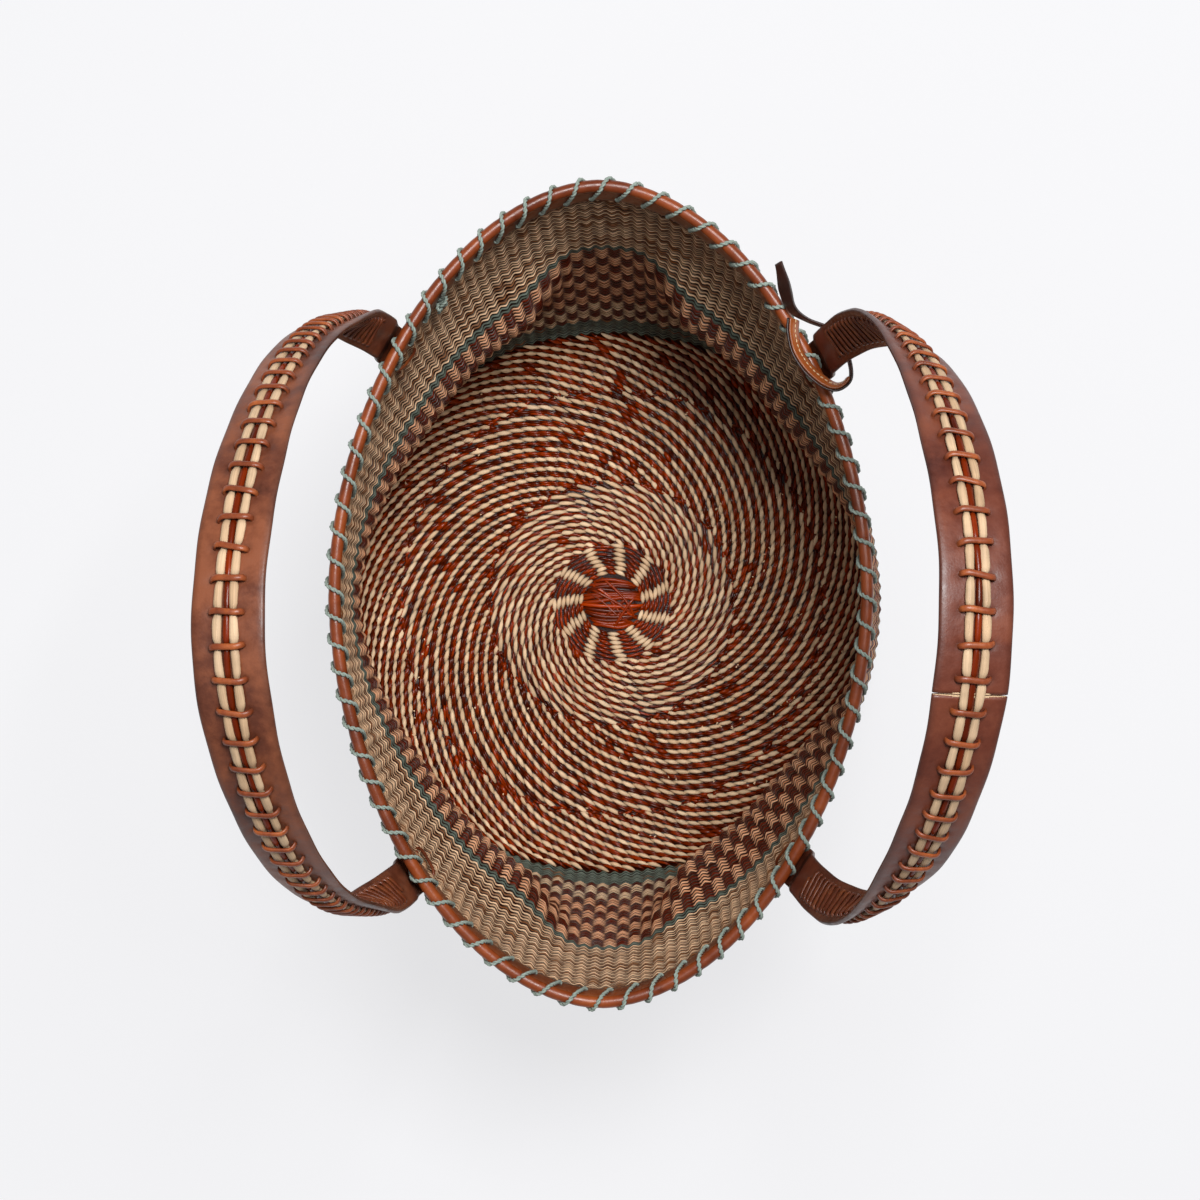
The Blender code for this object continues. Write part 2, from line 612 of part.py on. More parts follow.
@dataclass
class Handle:
    """One strap handle: where it meets the rim, and how its arch stands."""

    name: str
    first_share: float
    last_share: float
    height: float
    shift: float
    twist_length: float
    lean: float
    side_roundness: float
    top_roundness: float
    bulge_share: float

    def hinges(self):
        """The two places where the strap bends at the rim, the +Y one first, and the rim's
        outward way at each."""
        centre, _, outward, _ = rim_frame([self.first_share, self.last_share])
        return centre + outward * HINGE_STANDOFF, outward

    def arch(self, turn):
        """The strap's centre line: a superellipse that stands on the two hinges, a little wider
        half way up, with its top shifted towards -Y."""
        ends, _ = self.hinges()
        middle = ends.mean(axis=0)
        half_span = np.linalg.norm(ends[0] - ends[1]) / 2
        toward = unit(ends[0] - ends[1])
        outward = np.cross(toward, [0, 0, 1])
        outward = unit(outward) * math.copysign(1, outward[0] * middle[0])
        rise = unit(np.cross(outward, toward)) * math.copysign(1, np.cross(outward, toward)[2])
        rise = rise * math.cos(self.lean) + outward * math.sin(self.lean)
        c, s = np.cos(turn), np.sin(turn)
        across = half_span * np.sign(c) * np.abs(c) ** (2 / self.side_roundness)
        risen = np.abs(s) ** (2 / self.top_roundness)
        across = across * (1 + self.bulge_share * 4 * risen * (1 - risen)) - self.shift * s**2
        return middle + across[:, None] * toward + self.height * risen[:, None] * rise

    def table(self):
        """The arch as closely spaced points, with their distance from the first hinge."""
        points = self.arch(np.linspace(0, math.pi, 1201))
        run = np.concatenate([[0], np.linalg.norm(np.diff(points, axis=0), axis=1).cumsum()])
        return points, run

    def length(self):
        """The strap's length from hinge to hinge."""
        return float(self.table()[1][-1])

    def frames(self, run):
        """At each distance along the strap: its centre, the way along it, across it and out of
        its front. Flat against the rim at the ends, it twists until the front faces out."""
        run = np.asarray(run, float)
        points, table_run = self.table()

        def at(distance):
            return np.stack([np.interp(distance, table_run, points[:, axis]) for axis in range(3)], axis=-1)

        step = table_run[-1] / 400
        centre = at(run)
        along = unit(at(np.minimum(run + step, table_run[-1])) - at(np.maximum(run - step, 0)))
        ends, rim_out = self.hinges()
        from_middle = centre - ends.mean(axis=0)
        plane = unit(np.cross(ends[0] - ends[1], self.arch(np.array([math.pi / 2]))[0] - ends.mean(axis=0)))
        arch_out = np.cross(along, plane)
        arch_out = arch_out * np.sign(np.sum(arch_out * from_middle, axis=1, keepdims=True))
        near_first = (run < table_run[-1] / 2)[:, None]
        rim_side = np.where(near_first, rim_out[0], rim_out[1])
        near_end = np.minimum(run, table_run[-1] - run)
        twist = smooth(0, self.twist_length, near_end)[:, None]
        front = rim_side * (1 - twist) + arch_out * twist
        front = unit(front - along * np.sum(front * along, axis=1, keepdims=True))
        return centre, along, np.cross(along, front), front

    def half_width(self, run):
        """Half the strap's width: narrow at the rim, full over the arch."""
        near_end = np.minimum(run, self.length() - run)
        grown = smooth(0, STRAP_WIDENING_LENGTH, near_end)
        return (STRAP_END_WIDTH + (STRAP_MIDDLE_WIDTH - STRAP_END_WIDTH) * grown) / 2

    def stitches(self):
        """Where the lace crosses the strap, as distances along it: closer on the legs than over
        the top of the arch."""
        place = (np.arange(LACE_STITCHES) + 0.5) / LACE_STITCHES
        place = place - LACE_CROWDING_SHARE * np.sin(2 * math.pi * place) / (2 * math.pi)
        first, last = self.cord_ends()
        return first + place * (last - first)

    def seam(self):
        """Where two straps are butted, midway between two stitches."""
        stitches = self.stitches()
        after = np.searchsorted(stitches, self.length() / 2 + SEAM_FROM_MIDDLE)
        return (stitches[after - 1] + stitches[after]) / 2

    def cord_ends(self):
        """Where the cords on the strap's front begin and end."""
        start = BEND_REACH_UP + LACE_FREE_END
        return start, self.length() - start


HANDLES = (
    Handle(
        "left", 0.3778, 0.6398, LEFT_ARCH_HEIGHT, LEFT_ARCH_SHIFT, LEFT_TWIST_LENGTH,
        math.radians(12.3), 1.84, 2.34, 0.053,
    ),
    Handle(
        "right", 0.1143, 0.8648, RIGHT_ARCH_HEIGHT, RIGHT_ARCH_SHIFT, RIGHT_TWIST_LENGTH,
        math.radians(11.2), 2.10, 2.34, 0.098,
    ),
)


def strap_grid(centre, across, front, half_width):
    """Front and back points of a strap, with columns at its edges and round the lace holes."""
    half_hole = LACE_HOLE_SIZE / 2
    inner, outer = LACE_HOLE_OFFSET - half_hole, LACE_HOLE_OFFSET + half_hole
    columns = [-outer, -inner, inner, outer]
    offsets = np.stack([-half_width] + [np.full_like(half_width, c) for c in columns] + [half_width], axis=1)
    surface = centre[:, None] + offsets[..., None] * across[:, None]
    rise = front[:, None] * STRAP_THICKNESS / 2
    return surface + rise, surface - rise


def build_strap(name, handle, start, end, material, parent):
    """A stretch of handle strap with its pairs of lace holes."""
    half_hole = LACE_HOLE_SIZE / 2
    holes = [s - half_hole for s in handle.stitches() if start < s < end]
    edges = [edge + LACE_HOLE_SIZE for edge in holes] + [s for s in handle.cord_ends() if start < s < end]
    edges += [handle.seam()] if start < handle.seam() - GAP and handle.seam() + GAP < end else []
    run = np.array(sorted([start, end] + holes + edges))
    centre, _, across, front = handle.frames(run)
    outer, inner = strap_grid(centre, across, front, handle.half_width(run))
    keep = np.ones((len(run) - 1, 5), bool)
    for row in np.searchsorted(run, holes):
        keep[row, 1] = keep[row, 3] = False
    return plate(name, outer, inner, material, parent, keep, settle=True)


def build_handle(handle, materials, root, pivot):
    """Strap, cords and lace of one handle, which swing on the bends at the rim."""
    length = handle.length()
    start, end = BEND_REACH_UP, length - BEND_REACH_UP
    name = f"{handle.name}_handle"
    leather = materials["left strap" if handle.name == "left" else "right strap"]
    if handle.name == "left":
        build_strap(f"{name}_strap", handle, start, end, leather, pivot)
    else:
        seam = handle.seam()
        build_strap(f"{name}_strap_long", handle, start, seam - GAP / 2, leather, pivot)
        build_strap(f"{name}_strap_short", handle, seam + GAP / 2, end, leather, pivot)

    stitches = handle.stitches()
    run = np.sort(np.concatenate([handle.cord_ends(), stitches, [handle.seam()]]))
    centre, along, across, front = handle.frames(run)
    base = STRAP_THICKNESS / 2 + CORD_CLEARANCE
    cords = (
        ("cream_cord_outer", CORD_PITCH, CREAM_CORD_HALF_WIDTH, CREAM_CORD_HALF_HEIGHT, "cream"),
        ("rust_cord", 0, RUST_CORD_HALF_WIDTH, RUST_CORD_HALF_HEIGHT, "rust"),
        ("cream_cord_inner", -CORD_PITCH, CREAM_CORD_HALF_WIDTH, CREAM_CORD_HALF_HEIGHT, "cream"),
    )
    for cord, offset, half_width, half_height, colour in cords:
        path = centre + offset * across + (base + half_height) * front
        tube(f"{name}_{cord}", flat_cord(path, across, half_width, half_height), materials[colour], pivot)

    top = base + 2 * CREAM_CORD_HALF_HEIGHT + GAP + LACE_RADIUS
    bottom = STRAP_THICKNESS / 2 + GAP + LACE_RADIUS
    corners = ((-LACE_HOLE_OFFSET, -bottom), (-LACE_HOLE_OFFSET, top), (LACE_HOLE_OFFSET, top), (LACE_HOLE_OFFSET, -bottom))
    path = []
    centre, along, across, front = handle.frames(stitches)
    for number in range(len(stitches)):
        path += [centre[number] + w * across[number] + n * front[number] for w, n in corners]
        if number + 1 < len(stitches):
            middle = (centre[number] + centre[number + 1]) / 2
            path.append(middle - (bottom + GAP) * unit(front[number] + front[number + 1]))
    lace = round_cord(np.array(path), along[0], LACE_RADIUS)
    tube(f"{name}_lace", lace, materials["lace"], pivot)

    for place, share in (("back", handle.first_share), ("front", handle.last_share)):
        build_tab(f"{name}_{place}", handle, place == "back", share, leather, materials, root)


def tab_standoff(depth):
    """How far the tab's centre stands off the wall's middle: clear of the lashing near the rim,
    flat on the weave below."""
    high = HINGE_STANDOFF
    low = WALL_THICKNESS / 2 + CORD_CLEARANCE + STRAP_THICKNESS / 2
    return high + (low - high) * smooth(TAB_SETTLE_START, TAB_SETTLE_END, np.asarray(depth, float))


def build_tab(name, handle, first, share, leather, materials, root):
    """The strap's end on the outside of the wall, the bend at the rim, and the lace that holds
    the end through the slots."""
    half_hole = LACE_HOLE_SIZE / 2
    stitches = [TAB_FIRST_STITCH, TAB_FIRST_STITCH + TAB_STITCH_STEP]
    depths = [BEND_REACH_DOWN, TAB_SETTLE_START, TAB_SETTLE_END]
    for s in stitches:
        depths += [s - half_hole, s + half_hole]
    depths.append(TAB_LENGTH)
    frames = [wall_frame(share, depth) for depth in depths]
    along = np.array([frame[1] for frame in frames])
    outward = np.array([frame[2] for frame in frames])
    centre = np.array([frame[0] for frame in frames]) + outward * tab_standoff(depths)[:, None]
    half_width = np.full(len(depths), STRAP_END_WIDTH / 2)
    outer, inner = strap_grid(centre, along, outward, half_width)
    keep = np.ones((len(depths) - 1, 5), bool)
    for row in (3, 5):
        keep[row, 1] = keep[row, 3] = False
    plate(f"{name}_tab", outer, inner, leather, root, keep)

    end = handle.length() - BEND_REACH_UP + GAP
    stations = [BEND_REACH_UP - GAP, (BEND_REACH_UP - GAP) / 2]
    if not first:
        stations = [end, handle.length() - (BEND_REACH_UP - GAP) / 2]
    up_centre, _, up_across, up_front = handle.frames(stations)
    rim_centre, rim_along, rim_out, rim_up = (part[0] for part in rim_frame([share]))
    lower = wall_frame(share, BEND_REACH_DOWN - GAP)
    lower_centre = lower[0] + lower[2] * HINGE_STANDOFF
    centre = np.stack([up_centre[0], up_centre[1], rim_centre + rim_out * HINGE_STANDOFF, lower_centre])
    front = np.stack([up_front[0], up_front[1], rim_out, lower[2]])
    across = np.stack([up_across[0], up_across[1], rim_along, lower[1]])
    across = across * np.sign(across @ rim_along)[:, None]
    offset = np.array([-1, 1])[None, :, None] * STRAP_END_WIDTH / 2
    surface = centre[:, None] + offset * across[:, None]
    rise = front[:, None] * STRAP_THICKNESS / 2
    plate(f"{name}_bend", surface + rise, surface - rise, leather, root)

    path = []
    inside = -(WALL_THICKNESS / 2 + TAB_LACE_CLEARANCE + LACE_RADIUS)
    for number, depth in enumerate(stitches):
        place, way, out, _ = wall_frame(share, depth)
        outside = float(tab_standoff(depth)) + STRAP_THICKNESS / 2 + GAP + LACE_RADIUS
        for w, n in ((-1, inside), (-1, outside), (1, outside), (1, inside)):
            path.append(place + w * LACE_HOLE_OFFSET * way + n * out)
        if number == 0:
            place, way, out, _ = wall_frame(share, depth + TAB_STITCH_STEP / 2)
            path.append(place + (inside - GAP) * out)
    lace = round_cord(np.array(path), wall_frame(share, stitches[0])[3], LACE_RADIUS)
    tube(f"{name}_tab_lace", lace, materials["lace"], root)


def loop_path(handle):
    """The stitched loop's route round the strap at the rim, as places along the rim (in strap
    widths from the strap's centre) and out from it (in hinge standoffs from the roll)."""
    route_shares = (
        (-2.20, 1.62),
        (-1.62, 1.05),
        (-1.20, 0.94),
        (-0.80, 1.42),
        (-0.28, 2.06),
        (0.30, 2.10),
        (0.76, 1.68),
        (0.86, 0.82),
        (0.68, 0.12),
        (0.22, -0.50),
        (-0.28, -0.68),
        (-0.72, -0.36),
        (-1.00, 0.12),
    )
    return route_shares


def build_loop(handle, materials, root):
    """A stitched leather loop that lies on the rim round the right strap, with its free tail
    along the outside: a dark lining layer all the way and a tan face on its inner side."""
    route = np.array(loop_path(handle))
    turn = np.linspace(0, len(route) - 1, 4 * (len(route) - 1) + 1)
    smoothed = np.stack([catmull(route[:, axis], turn) for axis in range(2)], axis=1)
    share = handle.first_share - smoothed[:, 0] * STRAP_END_WIDTH / RIM_LENGTH
    centre, along, outward, up = rim_frame(share)
    middle = centre + (smoothed[:, 1] * HINGE_STANDOFF)[:, None] * outward
    middle[:, 2] += LOOP_HEIGHT_OVER_RIM
    way = unit(np.gradient(middle, axis=0))
    flat = np.cross(way, [0, 0, 1])
    flat = unit(flat)
    step = LOOP_LAYER_THICKNESS + GAP
    lean = np.radians(28) * smooth(5.5, 8.5, turn)[:, None]
    high = np.array([0, 0, 1.0]) * np.cos(lean) + flat * -np.sin(lean)
    high = unit(high - way * np.sum(high * way, axis=1, keepdims=True))
    face = np.cross(way, high)

    def band(name, first, last, offset, material):
        rows = slice(first, last)
        base = middle[rows] + face[rows] * offset
        half = high[rows] * LOOP_BAND_WIDTH / 2
        surface = np.stack([base - half, base + half], axis=1)
        thick = face[rows][:, None] * LOOP_LAYER_THICKNESS / 2
        plate(name, surface + thick, surface - thick, material, root)

    band("loop_lining", 0, len(turn), 0, materials["dark leather"])
    band("loop_face", 24, len(turn), step, materials["tan leather"])


def catmull(values, turn):
    """A smooth curve through values at whole numbers of turn."""
    padded = np.concatenate([[2 * values[0] - values[1]], values, [2 * values[-1] - values[-2]]])
    index = np.minimum(turn.astype(int), len(values) - 2)
    t = turn - index
    a, b, c, d = (padded[index + k] for k in range(4))
    return 0.5 * (2 * b + (c - a) * t + (2 * a - 5 * b + 4 * c - d) * t**2 + (3 * b - a - 3 * c + d) * t**3)


def main():
    """Clears the scene and builds every piece."""
    for old in list(bpy.data.objects):
        bpy.data.objects.remove(old, do_unlink=True)
    materials = {
        "rust": make_material("rust elephant grass", (0.20, 0.030, 0.008), 0.6),
        "cream": make_material("undyed elephant grass", (0.62, 0.44, 0.22), 0.6),
        "pink": make_material("pale dyed elephant grass", (0.56, 0.28, 0.14), 0.6),
        "grey": make_material("grey-green elephant grass", (0.11, 0.14, 0.11), 0.6),
        "straw": make_material("plain straw core", (0.60, 0.42, 0.20), 0.7),
        "grey cord": make_material("grey twisted cord", (0.26, 0.32, 0.26), 0.7),
        "rim leather": make_material("red-brown piping leather", (0.36, 0.08, 0.018), 0.4),
        "left strap": make_material("brown strap leather", (0.20, 0.043, 0.012), 0.45),
        "right strap": make_material("red-brown strap leather", (0.17, 0.037, 0.013), 0.45),
        "lace": make_material("leather lace", (0.26, 0.055, 0.015), 0.45),
        "tan leather": make_material("tan loop leather", (0.50, 0.13, 0.03), 0.45),
        "dark leather": make_material("dark lining leather", (0.035, 0.015, 0.012), 0.5),
    }
    root = bpy.data.objects.new("basket", None)
    bpy.context.scene.collection.objects.link(root)
    build_shell(materials, root)
    build_rim(materials, root)
    for handle in HANDLES:
        ends, _ = handle.hinges()
        pivot = bpy.data.objects.new(f"{handle.name}_handle_pivot", None)
        pivot.location = ends.mean(axis=0)
        bpy.context.scene.collection.objects.link(pivot)
        bpy.context.view_layer.update()
        build_handle(handle, materials, root, pivot)
        print(f"{handle.name} handle: hinges {np.round(ends, 5).tolist()}, strap {handle.length():.4f} m")
    build_loop(HANDLES[1], materials, root)


main()
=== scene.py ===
"""Looks of a bolga basket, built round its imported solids.

Straws, straps and cords are tubes: a section carried along a path, worked out with numpy as a
grid of points from the sizes that the solids have. All lengths are metres, +Z is up and +Y runs
along the long way of the mouth. "share" is the place round the basket, 0 at +X and 0.25 at +Y,
counted along the rim. "part" is the way along the weave, 0 at the centre of the base and 1 at
the rim.
"""

from __future__ import annotations

import logging
import math
from dataclasses import dataclass, field
from enum import Enum
from functools import partial
from typing import Any, Callable, Sequence

import bpy
import numpy as np
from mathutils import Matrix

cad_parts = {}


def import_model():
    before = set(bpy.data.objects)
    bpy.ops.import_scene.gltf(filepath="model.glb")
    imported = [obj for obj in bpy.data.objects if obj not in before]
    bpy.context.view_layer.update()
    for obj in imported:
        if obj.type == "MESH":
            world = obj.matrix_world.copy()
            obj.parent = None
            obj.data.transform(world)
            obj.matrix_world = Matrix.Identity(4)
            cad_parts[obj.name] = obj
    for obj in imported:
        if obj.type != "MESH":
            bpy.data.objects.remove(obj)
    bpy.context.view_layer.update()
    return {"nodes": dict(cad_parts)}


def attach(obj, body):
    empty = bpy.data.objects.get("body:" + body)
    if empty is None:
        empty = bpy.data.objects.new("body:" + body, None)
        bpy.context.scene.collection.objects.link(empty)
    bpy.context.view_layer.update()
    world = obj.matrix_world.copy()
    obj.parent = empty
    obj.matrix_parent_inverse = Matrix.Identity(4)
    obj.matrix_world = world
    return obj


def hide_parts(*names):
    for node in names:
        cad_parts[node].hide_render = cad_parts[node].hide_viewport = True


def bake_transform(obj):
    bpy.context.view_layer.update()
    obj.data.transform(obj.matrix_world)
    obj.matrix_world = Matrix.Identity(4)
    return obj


Array = np.ndarray
StrawPick = Callable[[int, Array], tuple[Array, Array]]
LOG = logging.getLogger("bolga_basket")
MM = 0.001
TAU = 2 * math.pi
BUNDLE_SHIFT = 0.037  # metres of texture between two skins of a bundle, so that no two look alike


# ---------------------------------------------------------------- small mathematics


def unit(vectors: Array) -> Array:
    """Each vector at length 1."""
    return vectors / np.maximum(np.linalg.norm(vectors, axis=-1, keepdims=True), 1e-12)


def square_to(way: Array, near: Array) -> Array:
    """The unit vector nearest to one that stands square to another."""
    return unit(near - way * np.sum(near * way, axis=-1, keepdims=True))


def read_off(places: Array, run: Array, values: Array) -> Array:
    """Rows of three values at places along a run, by straight interpolation."""
    return np.stack([np.interp(places, run, values[:, axis]) for axis in range(3)], axis=-1)


def smooth(start: float, end: float, value: Array | float) -> Array:
    """0 before start, 1 after end, and the S-curve x²(3 − 2x) between."""
    x = np.clip((np.asarray(value, float) - start) / (end - start), 0, 1)
    return x * x * (3 - 2 * x)


def catmull(keys: Array, steps: int, ring: bool = False) -> Array:
    """A smooth curve through key points: cubic pieces whose slope at a key is half the way
    between its two neighbours.

    Args:
        keys: The points to pass through, one a row, of any width.
        steps: How many stations each stretch between two keys gets.
        ring: Whether the curve closes on itself.

    Returns:
        The stations, one a row.
    """
    if ring:
        around = np.concatenate([keys[-1:], keys, keys[:2]])
    else:
        around = np.concatenate([2 * keys[:1] - keys[1:2], keys, 2 * keys[-1:] - keys[-2:-1]])
    count = len(keys) if ring else len(keys) - 1
    a, b, c, d = (around[k : k + count, None] for k in range(4))
    t = (np.arange(steps) / steps)[None, :, None]
    curve = b + t / 2 * (c - a + t * (2 * a - 5 * b + 4 * c - d + t * (3 * b - a - 3 * c + d)))
    curve = curve.reshape(-1, keys.shape[1])
    return curve if ring else np.concatenate([curve, keys[-1:]])


def along_path(path: Array, ring: bool = False) -> Array:
    """The unit way along a path, which may close on itself, at each of its stations."""
    return unit(np.roll(path, -1, axis=0) - np.roll(path, 1, axis=0) if ring else np.gradient(path, axis=0))


def wobble(share: Array, rng: np.random.Generator, waves: Sequence[int]) -> Array:
    """A gentle random wave round the basket, about ±1: the mean of sines that close on themselves.

    Args:
        share: Places round the basket.
        rng: The source of their sizes and phases.
        waves: How many waves each has in a turn.

    Returns:
        The wave's height at each place.
    """
    total = np.zeros_like(share)
    for count in waves:
        total = total + rng.uniform(0.3, 1.0) * np.sin(TAU * count * share + rng.uniform(0, TAU))
    return total / len(waves)


# ---------------------------------------------------------------- colours and finishes


def linear(code: str) -> tuple[float, float, float, float]:
    """An sRGB hex colour as linear red, green, blue and alpha.

    Args:
        code: Six hex digits, with or without a leading #.

    Returns:
        The linear colour with alpha 1.
    """
    digits = code.lstrip("#")
    values = [int(digits[k : k + 2], 16) / 255 for k in (0, 2, 4)]
    red, green, blue = (v / 12.92 if v <= 0.04045 else ((v + 0.055) / 1.055) ** 2.4 for v in values)
    return red, green, blue, 1.0


class Straw(Enum):
    """The dyed elephant grass of the weave: two colours that its strands lie between, and the
    roughness of its surface. The cream of the wall has a dark second colour, towards which
    every other row there is painted as shade."""

    CREAM = ("#EDCDA8", "#CFA982", 0.55)
    WALL_CREAM = ("#F4CCA4", "#7C4822", 0.58)
    RUST = ("#9C3202", "#3A0C00", 0.26)
    DARK_RUST = ("#6A1E04", "#300A00", 0.36)
    PINK = ("#EDB48C", "#C08058", 0.56)
    GREY = ("#707A6E", "#4F584C", 0.60)
    BROWN = ("#96623C", "#6A3E20", 0.56)


def straw_colours(kind: Array, mix: Array, bright: Array) -> Array:
    """The colour of strands.

    Args:
        kind: Index of each point's Straw, in the order of the Enum.
        mix: 0 to 1, from the first to the second colour of that straw.
        bright: A factor on the colour: random tone, and painted light and shade.

    Returns:
        Linear red, green and blue, with the roughness as the fourth value.
    """
    first = np.array([linear(straw.value[0])[:3] for straw in Straw])
    second = np.array([linear(straw.value[1])[:3] for straw in Straw])
    rough = np.array([straw.value[2] for straw in Straw])
    colour = first[kind] * (1 - mix[..., None]) + second[kind] * mix[..., None]
    return np.concatenate([colour * bright[..., None], rough[kind][..., None]], axis=-1)


def straw_index(straw: Straw) -> int:
    """The place of a straw in the Enum."""
    return list(Straw).index(straw)


def add_node(tree: bpy.types.NodeTree, kind: str, inputs: dict[Any, Any] | None = None, **settings: Any) -> Any:
    """Adds a node with its settings and links.

    Args:
        tree: The node tree.
        kind: The node's type name.
        inputs: Value or source socket for each input, by name or number.
        settings: Properties of the node.

    Returns:
        The node.
    """
    node = tree.nodes.new(kind)
    for name, value in settings.items():
        setattr(node, name, value)
    for socket, value in (inputs or {}).items():
        if isinstance(value, bpy.types.NodeSocket):
            tree.links.new(value, node.inputs[socket])
        else:
            node.inputs[socket].default_value = value
    return node


def add_ramp(tree: bpy.types.NodeTree, factor: Any, stops: Sequence[tuple[float, str]]) -> Any:
    """Adds a colour ramp through sRGB hex colours.

    Args:
        tree: The node tree.
        factor: The socket that drives the ramp.
        stops: Each place from 0 to 1 with its colour.

    Returns:
        The ramp's colour socket.
    """
    ramp = add_node(tree, "ShaderNodeValToRGB", {"Fac": factor})
    while len(ramp.color_ramp.elements) < len(stops):
        ramp.color_ramp.elements.new(0.5)
    for element, (place, code) in zip(ramp.color_ramp.elements, stops):
        element.position = place
        element.color = linear(code)
    return ramp.outputs["Color"]


def new_material(name: str) -> tuple[bpy.types.Material, bpy.types.NodeTree, Any]:
    """Makes a material with node shading.

    Args:
        name: The real material's name.

    Returns:
        The material, its node tree and its Principled shader.
    """
    material = bpy.data.materials.new(name)
    material.use_nodes = True
    tree = material.node_tree
    return material, tree, tree.nodes["Principled BSDF"]


@dataclass(frozen=True)
class StrawFinish:
    """Twisted elephant grass: dry fibres that run along each strand and catch the light as fine
    streaks. The colour with its painted light and shade, and the roughness, come from an attribute."""

    name: str = "twisted elephant grass"
    fibre_width: float = 0.35 * MM
    fibre_length: float = 9.0 * MM
    streak: float = 0.30
    bump: float = 0.35
    bump_distance: float = 0.18 * MM
    blotches_per_metre: float = 70.0
    shine: float = 0.22

    def make(self) -> bpy.types.Material:
        """The node material."""
        material, tree, shader = new_material(self.name)
        colour = add_node(tree, "ShaderNodeAttribute", attribute_name="straw_colour_and_painted_light")
        uv = add_node(tree, "ShaderNodeUVMap", uv_map="UVMap")
        scale = (1 / self.fibre_length, 1 / self.fibre_width, 1)
        place = add_node(tree, "ShaderNodeMapping", {"Vector": uv.outputs["UV"], "Scale": scale})
        along = {"Vector": place.outputs["Vector"], "Scale": 1.0, "Detail": 2.0, "Roughness": 0.6}
        fibres = add_node(tree, "ShaderNodeTexNoise", along)
        spots = add_node(tree, "ShaderNodeTexCoord").outputs["Object"]
        patches = {"Vector": spots, "Scale": self.blotches_per_metre, "Detail": 3.0, "Roughness": 0.6}
        blotch = add_node(tree, "ShaderNodeTexNoise", patches)
        both = add_node(tree, "ShaderNodeMath", {0: fibres.outputs["Fac"], 1: blotch.outputs["Fac"]}, operation="ADD")
        levels = {"From Min": 0.6, "From Max": 1.4, "To Min": 1 - self.streak, "To Max": 1 + self.streak}
        gain = add_node(tree, "ShaderNodeMapRange", {"Value": both.outputs["Value"], **levels})
        pair = {0: 1.0, 6: colour.outputs["Color"], 7: gain.outputs["Result"]}
        shaded = add_node(tree, "ShaderNodeMix", pair, data_type="RGBA", blend_type="MULTIPLY")
        tree.links.new(shaded.outputs[2], shader.inputs["Base Color"])
        pair = {0: colour.outputs["Alpha"], 1: gain.outputs["Result"]}
        rough = add_node(tree, "ShaderNodeMath", pair, operation="MULTIPLY", use_clamp=True)
        tree.links.new(rough.outputs["Value"], shader.inputs["Roughness"])
        height = {"Strength": self.bump, "Distance": self.bump_distance, "Height": fibres.outputs["Fac"]}
        relief = add_node(tree, "ShaderNodeBump", height)
        tree.links.new(relief.outputs["Normal"], shader.inputs["Normal"])
        shader.inputs["Specular IOR Level"].default_value = self.shine
        return material


@dataclass(frozen=True)
class CoreFinish:
    """The bundle of split straw inside the rim's leather: coarse fibres in two tones. They are too
    fine to show, so they are drawn as coarse as 2 mm."""

    name: str = "split straw core"
    dark: str = "#A98A5C"
    light: str = "#DCC596"
    fibre_size: float = 2.0 * MM

    def make(self) -> bpy.types.Material:
        """The node material."""
        material, tree, shader = new_material(self.name)
        place = add_node(tree, "ShaderNodeTexCoord").outputs["Object"]
        fibres = add_node(tree, "ShaderNodeTexNoise", {"Vector": place, "Scale": 1 / self.fibre_size, "Detail": 4.0})
        colour = add_ramp(tree, fibres.outputs["Fac"], ((0.3, self.dark), (0.7, self.light)))
        tree.links.new(colour, shader.inputs["Base Color"])
        height = {"Strength": 0.5, "Distance": 0.3 * MM, "Height": fibres.outputs["Fac"]}
        relief = add_node(tree, "ShaderNodeBump", height)
        tree.links.new(relief.outputs["Normal"], shader.inputs["Normal"])
        shader.inputs["Roughness"].default_value = 0.7
        return material


